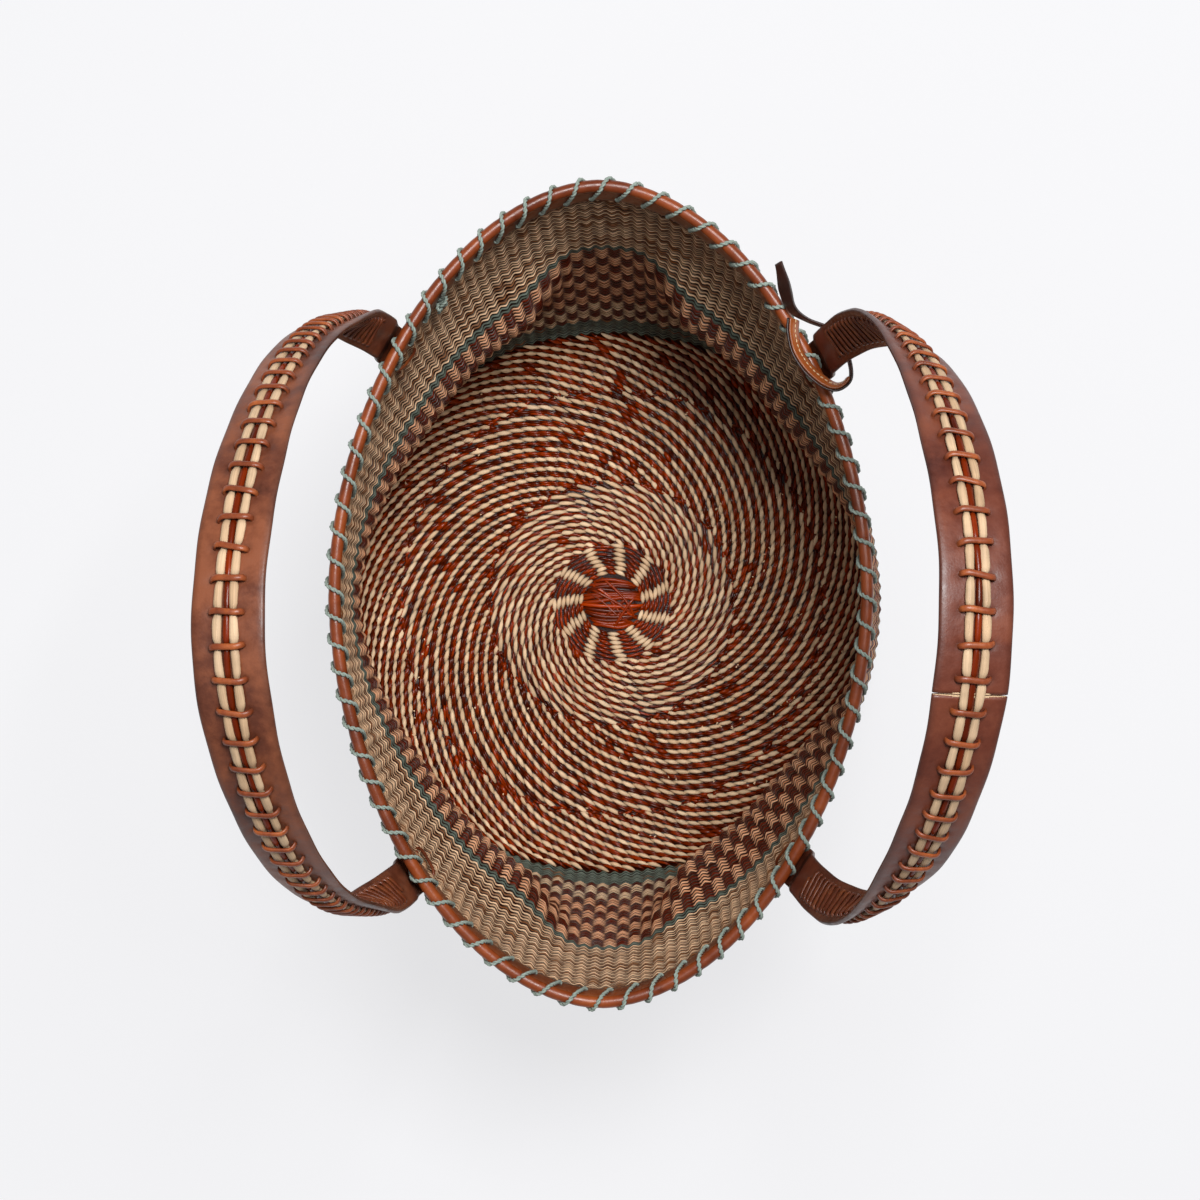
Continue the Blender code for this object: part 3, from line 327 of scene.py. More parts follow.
@dataclass(frozen=True)
class LeatherFinish:
    """Oiled leather: blotches of dye and handling wear, fine pores and creases. The attribute
    multiplies the colour: darker on cut edges dyed dark, painted shade in the pits at the lace
    holes, on the rim's flange and under its cord, and painted light and shade along the lace."""

    name: str
    deep: str
    middle: str
    light: str
    roughness: float = 0.42
    patch_size: float = 38 * MM
    grain_size: float = 0.9 * MM
    bump: float = 0.35
    contrast: float = 1.0

    def make(self) -> bpy.types.Material:
        """The node material."""
        material, tree, shader = new_material(self.name)
        place = add_node(tree, "ShaderNodeTexCoord").outputs["Object"]
        coarse = {"Scale": 1 / self.patch_size, "Detail": 4.0, "Roughness": 0.55, "Distortion": 0.6}
        dye = add_node(tree, "ShaderNodeTexNoise", {"Vector": place, **coarse})
        fine = {"Scale": 6 / self.patch_size, "Detail": 6.0, "Roughness": 0.7}
        scuff = add_node(tree, "ShaderNodeTexNoise", {"Vector": place, **fine})
        sum_of = {0: scuff.outputs["Fac"], 1: 0.35 * self.contrast, 2: dye.outputs["Fac"]}
        level = add_node(tree, "ShaderNodeMath", sum_of, operation="MULTIPLY_ADD")
        levels = {"From Min": 0.42, "From Max": 0.42 + 0.5 / self.contrast}
        tone = add_node(tree, "ShaderNodeMapRange", {"Value": level.outputs["Value"], **levels})
        colour = add_ramp(tree, tone.outputs["Result"], ((0.0, self.deep), (0.5, self.middle), (1.0, self.light)))
        # Dark-dyed edges and painted shade, read from the attribute.
        edge_dye_and_shade = add_node(tree, "ShaderNodeAttribute", attribute_name="shade")
        pair = {0: 1.0, 6: colour, 7: edge_dye_and_shade.outputs["Color"]}
        shaded = add_node(tree, "ShaderNodeMix", pair, data_type="RGBA", blend_type="MULTIPLY")
        tree.links.new(shaded.outputs[2], shader.inputs["Base Color"])
        cells = {"Vector": place, "Scale": 1 / self.grain_size, "Randomness": 1.0}
        pores = add_node(tree, "ShaderNodeTexVoronoi", cells, feature="SMOOTH_F1")
        folds = {"Scale": 0.3 / self.grain_size, "Detail": 5.0, "Roughness": 0.65}
        creases = add_node(tree, "ShaderNodeTexNoise", {"Vector": place, **folds})
        sum_of = {0: pores.outputs["Distance"], 1: 0.45, 2: creases.outputs["Fac"]}
        height = add_node(tree, "ShaderNodeMath", sum_of, operation="MULTIPLY_ADD").outputs["Value"]
        relief = add_node(tree, "ShaderNodeBump", {"Strength": self.bump, "Distance": 0.25 * MM, "Height": height})
        tree.links.new(relief.outputs["Normal"], shader.inputs["Normal"])
        levels = {"From Min": 0.3, "From Max": 0.7, "To Min": self.roughness - 0.08, "To Max": self.roughness + 0.12}
        rough = add_node(tree, "ShaderNodeMapRange", {"Value": scuff.outputs["Fac"], **levels})
        tree.links.new(rough.outputs["Result"], shader.inputs["Roughness"])
        return material


@dataclass(frozen=True)
class CordFinish:
    """Waxed cotton or raffia cord laid up from plies: matt, with fibres that run along each ply."""

    name: str
    dark: str
    light: str
    roughness: float = 0.75
    fibre_width: float = 0.30 * MM
    fibre_length: float = 2.5 * MM

    def make(self) -> bpy.types.Material:
        """The node material."""
        material, tree, shader = new_material(self.name)
        uv = add_node(tree, "ShaderNodeUVMap", uv_map="UVMap")
        scale = (1 / self.fibre_length, 1 / self.fibre_width, 1)
        place = add_node(tree, "ShaderNodeMapping", {"Vector": uv.outputs["UV"], "Scale": scale})
        fibres = add_node(tree, "ShaderNodeTexNoise", {"Vector": place.outputs["Vector"], "Scale": 1.0, "Detail": 3.0})
        colour = add_ramp(tree, fibres.outputs["Fac"], ((0.25, self.dark), (0.75, self.light)))
        tree.links.new(colour, shader.inputs["Base Color"])
        height = {"Strength": 0.5, "Distance": 0.2 * MM, "Height": fibres.outputs["Fac"]}
        relief = add_node(tree, "ShaderNodeBump", height)
        tree.links.new(relief.outputs["Normal"], shader.inputs["Normal"])
        shader.inputs["Roughness"].default_value = self.roughness
        return material


class Finish(Enum):
    """The finishes of the basket, each made once."""

    STRAW = StrawFinish()
    HANDLE_STRAW = StrawFinish(name="straw cord under the lacing", fibre_width=0.5 * MM, fibre_length=14 * MM)
    RIM_LEATHER = LeatherFinish(
        "red-brown piping leather", "#5E240A", "#8C4018", "#B45E28", roughness=0.34, patch_size=30 * MM, contrast=0.8
    )
    LEFT_STRAP = LeatherFinish(
        "brown strap leather with orange patina", "#3C1707", "#60301D", "#854A2E", roughness=0.42, contrast=1.2
    )
    RIGHT_STRAP = LeatherFinish("red-brown strap leather", "#471B10", "#65301F", "#7F432B", roughness=0.40)
    LACE = LeatherFinish("leather lacing", "#5E2810", "#803C1C", "#A25628", roughness=0.38, patch_size=12 * MM)
    TAN_LEATHER = LeatherFinish(
        "tan loop leather", "#9C4E22", "#B9642C", "#CC7A3E", roughness=0.40, patch_size=20 * MM, contrast=0.7
    )
    DARK_LEATHER = LeatherFinish(
        "dark lining leather", "#24120D", "#3A1C14", "#55291A", roughness=0.42, patch_size=14 * MM
    )
    GREY_CORD = CordFinish("grey-green waxed cord", "#6C7A70", "#A9B6AB")
    THREAD = CordFinish("cream sewing thread", "#B99A70", "#EBD9B4")
    RAW_EDGE = CordFinish("raw cut edge of hide", "#B08A62", "#DCC3A0")
    CORE = CoreFinish()

    def material(self) -> bpy.types.Material:
        """The finish's material, made on first use."""
        return bpy.data.materials.get(self.value.name) or self.value.make()


# ---------------------------------------------------------------- meshes from grids


@dataclass
class Tube:
    """A closed skin: rows of points, each row a closed section. The rows close on themselves as
    a ring, or each end gets a flat cap. A fourth axis in front makes a bundle of like skins.
    colour is per point: straw colour with its painted light and shade, and roughness, or the
    shade that multiplies a leather."""

    points: Array
    colour: Array | None = None
    ring: bool = False


def tube_surface(tube: Tube, first: int) -> tuple[Array, Array, Array]:
    """Faces of one tube, or of a bundle of tubes.

    Quads join each row to the next. They are turned round where their normals point at the
    row's own centre.

    Args:
        tube: The tube.
        first: The index of its first point in the whole mesh.

    Returns:
        Corner indices, corner counts and the corners' UV places, u along and v round in metres.
    """
    points = tube.points.reshape((-1,) + tube.points.shape[-3:])
    bundle, rows, columns = points.shape[:3]
    spans = rows if tube.ring else rows - 1
    r, c = np.arange(spans)[:, None], np.arange(columns)[None, :]
    here, there, beside = r * columns, (r + 1) % rows * columns, (c + 1) % columns
    quads = np.stack([here + c, here + beside, there + beside, there + c], axis=-1).reshape(-1, 4)
    corner = points.reshape(bundle, -1, 3)[:, quads]
    normal = np.cross(corner[:, :, 2] - corner[:, :, 0], corner[:, :, 3] - corner[:, :, 1])
    centre = points.mean(axis=2)
    from_centre = corner.mean(axis=2) - np.repeat(centre[:, :spans], columns, axis=1)
    outward = float((normal * from_centre).sum()) > 0

    steps = np.linalg.norm(np.diff(np.concatenate([centre, centre[:, :1]], axis=1), axis=1), axis=2)
    u = np.concatenate([np.zeros((bundle, 1)), np.cumsum(steps, axis=1)], axis=1)
    u = u + BUNDLE_SHIFT * np.arange(bundle)[:, None]
    section = points[:, :: max(rows // 8, 1)]
    around = np.linalg.norm(np.roll(section, -1, axis=2) - section, axis=3).mean(axis=(0, 1))
    v = np.concatenate([[0], np.cumsum(around)])
    grid_u = np.stack([u[:, :spans], u[:, :spans], u[:, 1 : spans + 1], u[:, 1 : spans + 1]], axis=-1)[:, :, None]
    grid_v = np.stack([v[:-1], v[1:], v[1:], v[:-1]], axis=-1)[None, None]
    places = np.stack(np.broadcast_arrays(grid_u, grid_v), axis=-1).reshape(-1, 4, 2)
    offsets = first + np.arange(bundle)[:, None, None] * rows * columns
    quads = (quads[None] + offsets).reshape(-1, 4)
    if not outward:
        quads, places = quads[:, ::-1], places[:, ::-1]
    corners, totals, uvs = [quads.reshape(-1)], [np.full(len(quads), 4)], [places.reshape(-1, 2)]
    if not tube.ring:
        order = np.arange(columns)
        caps = [order[::-1], (rows - 1) * columns + order]
        for cap, end in zip(caps, (0, rows - 1)):
            cap = cap if outward else cap[::-1]
            corners.append((cap[None] + offsets[:, 0]).reshape(-1))
            totals.append(np.full(bundle, columns))
            places = np.broadcast_arrays(u[:, end : end + 1], v[cap % columns][None])
            uvs.append(np.stack(places, axis=-1).reshape(-1, 2))
    return np.concatenate(corners), np.concatenate(totals), np.concatenate(uvs)


def make_mesh(name: str, tubes: Sequence[Tube], attribute: str) -> bpy.types.Mesh:
    """One mesh from tubes.

    Args:
        name: The mesh's name.
        tubes: Its closed skins.
        attribute: The name of the colour attribute.

    Returns:
        The mesh, shaded smooth.
    """
    mesh = bpy.data.meshes.new(name)
    points = np.concatenate([tube.points.reshape(-1, 3) for tube in tubes])
    corners, totals, uvs, first = [], [], [], 0
    for tube in tubes:
        corner, total, uv = tube_surface(tube, first)
        corners.append(corner)
        totals.append(total)
        uvs.append(uv)
        first += math.prod(tube.points.shape[:-1])
    corner, total, uv = np.concatenate(corners), np.concatenate(totals), np.concatenate(uvs)
    mesh.vertices.add(len(points))
    mesh.vertices.foreach_set("co", points.astype(np.float32).reshape(-1))
    mesh.loops.add(len(corner))
    mesh.loops.foreach_set("vertex_index", corner.astype(np.int32))
    mesh.polygons.add(len(total))
    mesh.polygons.foreach_set("loop_start", np.concatenate([[0], np.cumsum(total)[:-1]]).astype(np.int32))
    mesh.update(calc_edges=True)
    layer = mesh.uv_layers.new(name="UVMap")
    layer.uv.foreach_set("vector", uv.astype(np.float32).reshape(-1))
    plain = np.ones(4)
    tints = [
        np.broadcast_to(plain if tube.colour is None else tube.colour, tube.points.shape[:-1] + (4,)) for tube in tubes
    ]
    values = mesh.attributes.new(attribute, "FLOAT_COLOR", "POINT")
    values.data.foreach_set("color", np.concatenate([t.reshape(-1, 4) for t in tints]).astype(np.float32).reshape(-1))
    mesh.shade_smooth()
    return mesh


def add_piece(
    name: str, tubes: Sequence[Tube], finish: Finish,
    body: str | None = "basket", replaced: Sequence[str] = (),
) -> bpy.types.Object:
    """A finished piece of the object.

    Args:
        name: The piece's name.
        tubes: Its closed skins.
        finish: What it is made of.
        body: The body that it rides on, or None where it bends between two.
        replaced: The solids that it stands for.

    Returns:
        The object.
    """
    attribute = "straw_colour_and_painted_light" if isinstance(finish.value, StrawFinish) else "shade"
    mesh = make_mesh(name, tubes, attribute)
    mesh.materials.append(finish.material())
    piece = bpy.data.objects.new(name, mesh)
    bpy.context.scene.collection.objects.link(piece)
    if body:
        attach(piece, body)
    if replaced:
        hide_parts(*replaced)
    LOG.info("%s: %d faces", name, len(mesh.polygons))
    return piece


def carry(
    path: Array, side: Array, over: Array, section: Array, ring: bool = False, colour: Array | None = None
) -> Tube:
    """Carries a section along a path: point = path + a·side + b·over.

    Args:
        path: The stations.
        side: The section's first axis at each station.
        over: Its second axis.
        section: Points (a, b) of the section, the same for all stations or one set for each.
        ring: Whether the path closes.
        colour: One colour for each station, or for each point.

    Returns:
        The tube.
    """
    section = np.broadcast_to(section, (len(path),) + section.shape[-2:])
    points = path[:, None] + section[..., :1] * side[:, None] + section[..., 1:] * over[:, None]
    if colour is not None and colour.ndim == 2:
        colour = colour[:, None, :]
    return Tube(points, colour, ring)


def oval(sides: int, half_width: Array | float, half_height: Array | float) -> Array:
    """An oval section: (w·cos, h·sin) at even angles.

    Args:
        sides: How many points it has.
        half_width: Half its width, for all stations or one for each.
        half_height: Half its height, in the same way.

    Returns:
        The points, for one section or one section for each station.
    """
    angle = np.arange(sides) / sides * TAU
    width, height = (np.asarray(half, float)[..., None] for half in (half_width, half_height))
    return np.stack(np.broadcast_arrays(width * np.cos(angle), height * np.sin(angle)), axis=-1)


def plies(
    path: Array, reference: Array, ply_radius: float, lay: float, count: int, sides: int, ring: bool = False
) -> list[Tube]:
    """A laid-up cord: plies that wind round the path once in each lay length, each offset from
    it by its own radius.

    Args:
        path: The cord's centre line.
        reference: A way that is nowhere along the path, at each station.
        ply_radius: Half a ply's thickness.
        lay: The length of one turn.
        count: How many plies.
        sides: How many sides a ply has.
        ring: Whether the cord closes on itself.

    Returns:
        One tube for each ply.
    """
    way = along_path(path, ring)
    side = square_to(way, reference)
    over = np.cross(way, side)
    run = np.concatenate([[0], np.cumsum(np.linalg.norm(np.diff(path, axis=0), axis=1))])
    tubes = []
    for ply in range(count):
        angle = TAU * (run / lay + ply / count)
        offset = np.cos(angle)[:, None] * side + np.sin(angle)[:, None] * over
        line = path + 0.92 * ply_radius * offset
        tubes.append(carry(line, side, over, oval(sides, ply_radius, ply_radius), ring))
    return tubes


# ---------------------------------------------------------------- the woven body


@dataclass(frozen=True)
class BasketShape:
    """The basket's own sizes, as the solids have them."""

    base_radius: float = 0.165
    mouth_half_length: float = 0.2123
    mouth_half_width: float = 0.1370
    mouth_shift_x: float = -0.007
    mouth_shift_y: float = 0.005
    mouth_roundness: float = 1.84
    rim_end_height: float = 0.250
    rim_side_rise: float = 0.015
    wall_thickness: float = 0.0044
    corner_radius_end: float = 0.022
    corner_radius_side: float = 0.045
    knot_radius: float = 0.017
    cream_band: float = 0.0885
    grey_line: float = 0.0052
    check_band: float = 0.1262
    grey_band: float = 0.0205
    dent_depth: float = 0.024
    dent_height_share: float = 0.56
    dent_front_right_height_share: float = 0.45
    dent_spread_share: float = 0.14
    dent_start: float = math.radians(5)
    dent_full: float = math.radians(20)
    dent_ease: float = math.radians(43)
    left_side_dent_share: float = 0.45
    ribs: int = 152
    stitches: int = 76
    lashing_start_share: float = 0.3475


class Shell:
    """The middle surface of the weave, as a table over share and part.

    Each meridian runs flat from the centre of the base, through a quarter circle, and up a wall
    that is a straight line from the base circle to the rim, pressed in by the waist. The rim is
    a slightly pointed ellipse: |x/a|^p + |y/b|^p = 1.
    """

    columns = 608
    rows = 480

    def __init__(self, shape: BasketShape) -> None:
        """Works the table out.

        Args:
            shape: The basket's sizes.
        """
        self.shape = shape
        self.turns = np.linspace(0, TAU, 4097)
        steps = np.linalg.norm(np.diff(self.rim_plan(self.turns), axis=0), axis=1)
        self.rim_run = np.concatenate([[0], np.cumsum(steps)])
        self.rim_length = float(self.rim_run[-1])
        share = np.arange(self.columns + 1) / self.columns
        lines = self.meridians(share)
        steps = np.linalg.norm(np.diff(lines, axis=0), axis=-1)
        run = np.concatenate([np.zeros((1, len(share))), steps.cumsum(axis=0)])
        self.lengths = run[-1]
        even = np.linspace(0, 1, self.rows + 1)
        self.table = np.empty((self.rows + 1, len(share), 3))
        for column, length in enumerate(self.lengths):
            self.table[:, column] = read_off(even, run[:, column] / length, lines[:, column])
        ringed = np.concatenate([self.table[:, -2:-1], self.table, self.table[:, 1:2]], axis=1)
        self.along = unit(ringed[:, 2:] - ringed[:, :-2] + 1e-9)
        self.up = unit(np.gradient(self.table, axis=0))
        self.along[0] = self.along[1]
        self.normal = unit(np.cross(self.along, self.up))
        self.end_length = float(self.lengths[self.columns // 4])

    def rim_plan(self, angle: Array) -> Array:
        """The rim's centre line seen from above: |x/a|^p + |y/b|^p = 1.

        Args:
            angle: Angles round the middle, in radians.

        Returns:
            The points, x and y.
        """
        s = self.shape
        power = 2 / s.mouth_roundness
        c, n = np.cos(angle), np.sin(angle)
        x = s.mouth_shift_x + s.mouth_half_width * np.sign(c) * np.abs(c) ** power
        y = s.mouth_shift_y + s.mouth_half_length * np.sign(n) * np.abs(n) ** power
        return np.stack([x, y], axis=-1)

    def rim_height(self, share: Array) -> Array:
        """The roll's centre height: the sides stand higher than the ends."""
        return self.shape.rim_end_height + self.shape.rim_side_rise * np.cos(TAU * share) ** 2

    def rim_points(self, share: Array) -> Array:
        """The roll's centre at each share."""
        angle = np.interp(np.mod(share, 1) * self.rim_length, self.rim_run, self.turns)
        return np.concatenate([self.rim_plan(angle), self.rim_height(share)[..., None]], axis=-1)

    def dent(self, share: Array) -> Array:
        """How deep the waist is: none at the two ends and the right side, most on the diagonals.

        Args:
            share: Places round the basket.

        Returns:
            The depth at each place.
        """
        s = self.shape
        from_end = np.arccos(np.clip(np.abs(np.sin(TAU * share)), 0, 1))
        side = np.where(np.cos(TAU * share) < 0, s.left_side_dent_share, 0.0)
        fall = smooth(s.dent_ease, math.pi / 2, from_end)
        return s.dent_depth * smooth(s.dent_start, s.dent_full, from_end) * (1 - (1 - side) * fall)

    def dent_height(self, share: Array) -> Array:
        """How high the waist is, as a share of the rim's height: lower in the front right quarter."""
        high, low = self.shape.dent_height_share, self.shape.dent_front_right_height_share
        return high + (low - high) * smooth(0, 0.5, np.cos(TAU * share)) * smooth(0, 0.5, -np.sin(TAU * share))

    def wall_plan(self, share: Array, height: Array) -> Array:
        """The wall before its corner is rounded: a straight line from the base circle to the rim,
        less a bell curve for the waist.

        Args:
            share: Places round the basket.
            height: Heights over the middle of the base.

        Returns:
            The points, x and y.
        """
        s = self.shape
        outward = np.stack([np.cos(TAU * share), np.sin(TAU * share)], axis=-1)
        rim = self.rim_points(share)
        rise = height / rim[..., 2]
        bell = np.exp(-(((rise - self.dent_height(share)) / s.dent_spread_share) ** 2))
        straight = s.base_radius * outward * (1 - rise)[..., None] + rim[..., :2] * rise[..., None]
        return straight - outward * (self.dent(share) * bell)[..., None]

    def meridians(self, share: Array) -> Array:
        """The lines from the centre of the base to the rim.

        Args:
            share: The places round the basket, one for each line.

        Returns:
            The points, as rows by columns by 3.
        """
        s, samples = self.shape, 40
        share = share[None, :]
        outward = np.stack([np.cos(TAU * share), np.sin(TAU * share)], axis=-1)
        radius = s.corner_radius_end + (s.corner_radius_side - s.corner_radius_end) * np.cos(TAU * share) ** 2
        floor = s.wall_thickness / 2
        flat = np.linspace(0, 1, samples)[:-1, None]
        flat_plan = outward * (flat * (s.base_radius - radius))[..., None]
        turn = np.linspace(0, math.pi / 2, samples)[:-1, None]
        turn_height = radius * (1 - np.cos(turn))
        turn_share = np.broadcast_to(share, turn_height.shape)
        turn_plan = self.wall_plan(turn_share, turn_height) - outward * (radius * (1 - np.sin(turn)))[..., None]
        top = self.rim_height(share) - floor
        rise = radius + np.linspace(0, 1, 3 * samples)[:, None] * (top - radius)
        wall = self.wall_plan(np.broadcast_to(share, rise.shape), rise * self.rim_height(share) / top)
        plan = np.concatenate([flat_plan, turn_plan, wall])
        height = np.concatenate([np.full(flat_plan.shape[:2], floor), turn_height + floor, rise + floor])
        return np.concatenate([plan, height[..., None]], axis=-1)

    def at(self, share: Array | float, part: Array | float) -> tuple[Array, Array, Array, Array]:
        """The surface at any places, by straight interpolation in the table.

        Args:
            share: Places round the basket.
            part: Ways along the weave, broadcast with share.

        Returns:
            The points, and the outward, along and up unit ways there.
        """
        share, part = np.broadcast_arrays(np.asarray(share, float), np.asarray(part, float))
        x = np.mod(share, 1) * self.columns
        y = np.clip(part, 0, 1) * self.rows
        i = np.minimum(x.astype(int), self.columns - 1)
        j = np.minimum(y.astype(int), self.rows - 1)
        fx, fy = (x - i)[..., None], (y - j)[..., None]

        def pick(table: Array) -> Array:
            """The table's values at the places, from the four corners round each."""
            low = table[j, i] * (1 - fx) + table[j, i + 1] * fx
            high = table[j + 1, i] * (1 - fx) + table[j + 1, i + 1] * fx
            return low * (1 - fy) + high * fy

        return pick(self.table), unit(pick(self.normal)), unit(pick(self.along)), unit(pick(self.up))

    def length_at(self, share: Array | float) -> Array:
        """The meridian's length at each share."""
        return np.interp(np.mod(share, 1), np.arange(self.columns + 1) / self.columns, self.lengths)

    def below(self, share: Array | float, depth: Array | float) -> tuple[Array, Array, Array, Array]:
        """The surface at a distance down the wall from the rim: points, outward, along, up."""
        return self.at(share, 1 - np.asarray(depth, float) / self.length_at(share))

    def rim(self, share: Array | float) -> tuple[Array, Array, Array, Array]:
        """The roll's centre with its own ways, of which up follows the stakes.

        Args:
            share: Places round the basket.

        Returns:
            The points, and the outward, along and up unit ways.
        """
        share = np.atleast_1d(np.asarray(share, float))
        centre = self.rim_points(share)
        along = unit(self.rim_points(share + 0.001) - self.rim_points(share - 0.001))
        low, _, _, _ = self.at(share, 0.998)
        top, _, _, _ = self.at(share, 1.0)
        up = unit(top - low)
        return centre, unit(np.cross(along, up)), along, up

    def stitch_share(self, number: Array | float) -> Array:
        """Where a lashing stitch passes through the wall."""
        return self.shape.lashing_start_share + (np.asarray(number, float) + 1) / self.shape.stitches


@dataclass
class Weave:
    """The twined weave.

    Each row of the wall is a pair of strands that cross between the ribs, so that one bulges
    inwards and one outwards over every rib. In the base the light stitches of each row lie one
    rib further on than those of the row before, so they line up in arms that swirl outwards,
    with rust strands between the arms. The arms begin anew at each ring where stakes were added.
    The fields give the wall's rows first, then a stitch, the base, the stakes and the knot.
    """

    shell: Shell
    samples: int = 5
    wall_top: float = 4.2 * MM
    cream_rows: int = 31
    line_rows: int = 2
    check_rows: int = 48
    band_rows: int = 8
    block_rows: int = 5
    pink_blocks: int = 7
    half_depth: float = 2.2 * MM
    binding_depth: float = 14.0 * MM
    binding_half_depth: float = 1.5 * MM
    dive_share: float = 0.36
    height_share: float = 0.36
    cream_height_share: float = 0.29
    scallop_share: float = 0.50
    slant_share: float = 0.30
    drift_share: float = 0.16
    # Painted shade: how far every other row of the wall is mixed towards the darker colour.
    shaded_row_tone: float = 0.55
    section_depths: tuple[float, ...] = (-1, -0.91, -0.76, 0.80, 0.80, -0.76, -0.91)
    section_heights: tuple[float, ...] = (0, 0.66, 1, 0.8, -0.8, -1, -0.66)
    # Painted light at the section's points: a highlight on the inner crest, nearly black shade at the grooves over and
    # under it.
    section_painted_light: tuple[float, ...] = (1.1, 1.0, 0.06, 0.9, 0.9, 0.06, 0.85)

    stitch_half_width: float = 1.48 * MM
    stitch_half_height: float = 1.15 * MM
    strand_half_width: float = 0.78 * MM
    inner_lift: float = 1.55 * MM
    outer_lift: float = 1.0 * MM

    base_row: float = 2.7 * MM
    wedges: int = 11
    wedge_rows: int = 7
    wedge_gap: float = 0.8 * MM
    wedge_lean: float = 0.0035
    wedge_half_length: float = 4.4 * MM
    zone_starts: tuple[float, ...] = (0.0378, 0.0770, 0.1320)
    zone_ends: tuple[float, ...] = (0.0738, 0.1288)
    zone_arms: tuple[int, ...] = (26, 41, 63)
    zone_rises: tuple[float, ...] = (0.0195, 0.043, 0.060)
    zone_stray_chances: tuple[float, ...] = (0.02, 0.05, 0.02)
    zone_strand_widths: tuple[float, ...] = (1.0, 1.25, 1.1)
    stitch_turn: float = math.radians(9)
    stitch_reach: float = 0.66
    upper_strands: tuple[tuple[float, float], ...] = ((0.42, 0.25), (0.62, 0.75))
    under_strands: tuple[tuple[float, float], ...] = ((0.52, 0.5),)
    strand_reach: float = 0.78
    ring_row: float = 2.2 * MM
    ring_step: float = 5.2 * MM
    ring_half_length: float = 3.6 * MM

    clipped_count: int = 150
    clipped_reach: float = 0.078
    stake_half_thickness: float = 0.75 * MM

    knot_straws: int = 21
    knot_crossing: int = 14
    knot_slants: tuple[float, ...] = (0.75, -0.6, 2.3)
    knot_height: float = 3.9 * MM
    knot_upper_height: float = 4.6 * MM
    rng: np.random.Generator = field(default_factory=lambda: np.random.default_rng(11))

    def part_at(self, distance_from_rim: float) -> float:
        """The part of the way for a distance below the rim, measured at the ends."""
        return 1 - distance_from_rim / self.shell.end_length

    def strand(
        self, share: Array, part: Array, phase: Array, half_height: Array | float, half_depth: Array | float,
        front: Array, back: Array, tone: Array,
    ) -> Tube:
        """One row of twining as a single skin that closes round the basket.

        The half depth is d·(k + (1 − k)·cos²πt), where t is the place between two crossings, and
        the half height follows it more gently. The middle line leans by a sine of 2πt, as a twist
        does, and sinks by a cosine of 2πt at each rib, which gives scallops. The section has a
        crest inside, grooves over and under it and a flat back. Its colour is painted: a highlight
        on the crest, nearly black shade in the grooves, a little shade on the lower side and the
        back, and shade towards each crossing by the same gentle factor as the height.

        Args:
            share: Places round the basket.
            part: Ways along the weave.
            phase: The running number of ribs passed.
            half_height: Half the row's height.
            half_depth: Half the wall's thickness.
            front: Index of the straw on the inside.
            back: Index of the straw on the outside.
            tone: The tone of the strand, 0 to 1.

        Returns:
            The tube.
        """
        point, outward, _, up = self.shell.at(share, part)
        swell = np.cos(math.pi * phase) ** 2
        gentle = 0.84 + 0.16 * swell
        depth = half_depth * (self.dive_share + (1 - self.dive_share) * swell)
        height = half_height * gentle
        lean = self.slant_share * half_height * np.sin(TAU * phase)
        point = point - (self.scallop_share * half_height * np.cos(TAU * phase))[:, None] * up
        inwards, upwards = np.array(self.section_depths), np.array(self.section_heights)
        across = depth[:, None] * inwards
        rise = height[:, None] * upwards - np.sign(inwards) * lean[:, None]
        points = point[:, None] + across[..., None] * outward[:, None] + rise[..., None] * up[:, None]
        kind = np.where(inwards < 0, front[:, None], back[:, None])
        # Painted light: the section's highlight and groove shade, with shade towards each crossing by the gentle
        # factor.
        bright = gentle[:, None] * np.array(self.section_painted_light)[None]
        return Tube(points, straw_colours(kind, np.broadcast_to(tone[:, None], kind.shape), bright), True)

    def stitch_values(self, phase: Array, low: float, high: float) -> Array:
        """One random value for each stitch, held over the stations of that stitch."""
        number = np.floor(phase + 0.5).astype(int)
        return self.rng.uniform(low, high, number.max() - number.min() + 1)[number - number.min()]

    def wall_rows(self, top: float, width: float, rows: int, pick: StrawPick) -> list[Tube]:
        """Rows of one colour band.

        Args:
            top: The band's distance below the rim.
            width: Its width along the wall.
            rows: How many rows it has.
            pick: Gives the straws in front and behind for a row number and rib numbers.

        Returns:
            One tube for each row, from the top down.
        """
        shape = self.shell.shape
        phase = np.arange(shape.ribs * self.samples) / self.samples
        share = shape.lashing_start_share + (phase + 0.5) / shape.ribs
        rib = np.floor(phase + 0.5).astype(int) % shape.ribs
        pitch = width / rows
        dark = (straw_index(Straw.DARK_RUST), straw_index(Straw.RUST))
        tubes = []
        for row in range(rows):
            below = top + (row + 0.5) * pitch
            drift = self.drift_share * pitch * wobble(share, self.rng, (3, 7, 17, 31))
            part = self.part_at(below) + drift / self.shell.end_length
            front, back = pick(row, rib)
            # Painted shade: every other row is mixed further towards its straw's darker second colour.
            tone = self.rng.uniform(-0.1, 0.2) + self.shaded_row_tone * (row % 2)
            tone = tone + self.stitch_values(phase, -0.15, 0.35)
            depth = self.half_depth if below > self.binding_depth else self.binding_half_depth
            depth = depth * (1 + 0.12 * self.stitch_values(phase, -1, 1))
            depth = depth * np.where(np.isin(front, dark), 0.88, 1.0)
            tall = (self.cream_height_share if below < shape.cream_band else self.height_share) * pitch
            tall = tall * (1 + 0.10 * self.stitch_values(phase, -1, 0.6))
            tubes.append(self.strand(share, part, phase, tall, depth, front, back, np.clip(tone, 0, 1)))
        return tubes

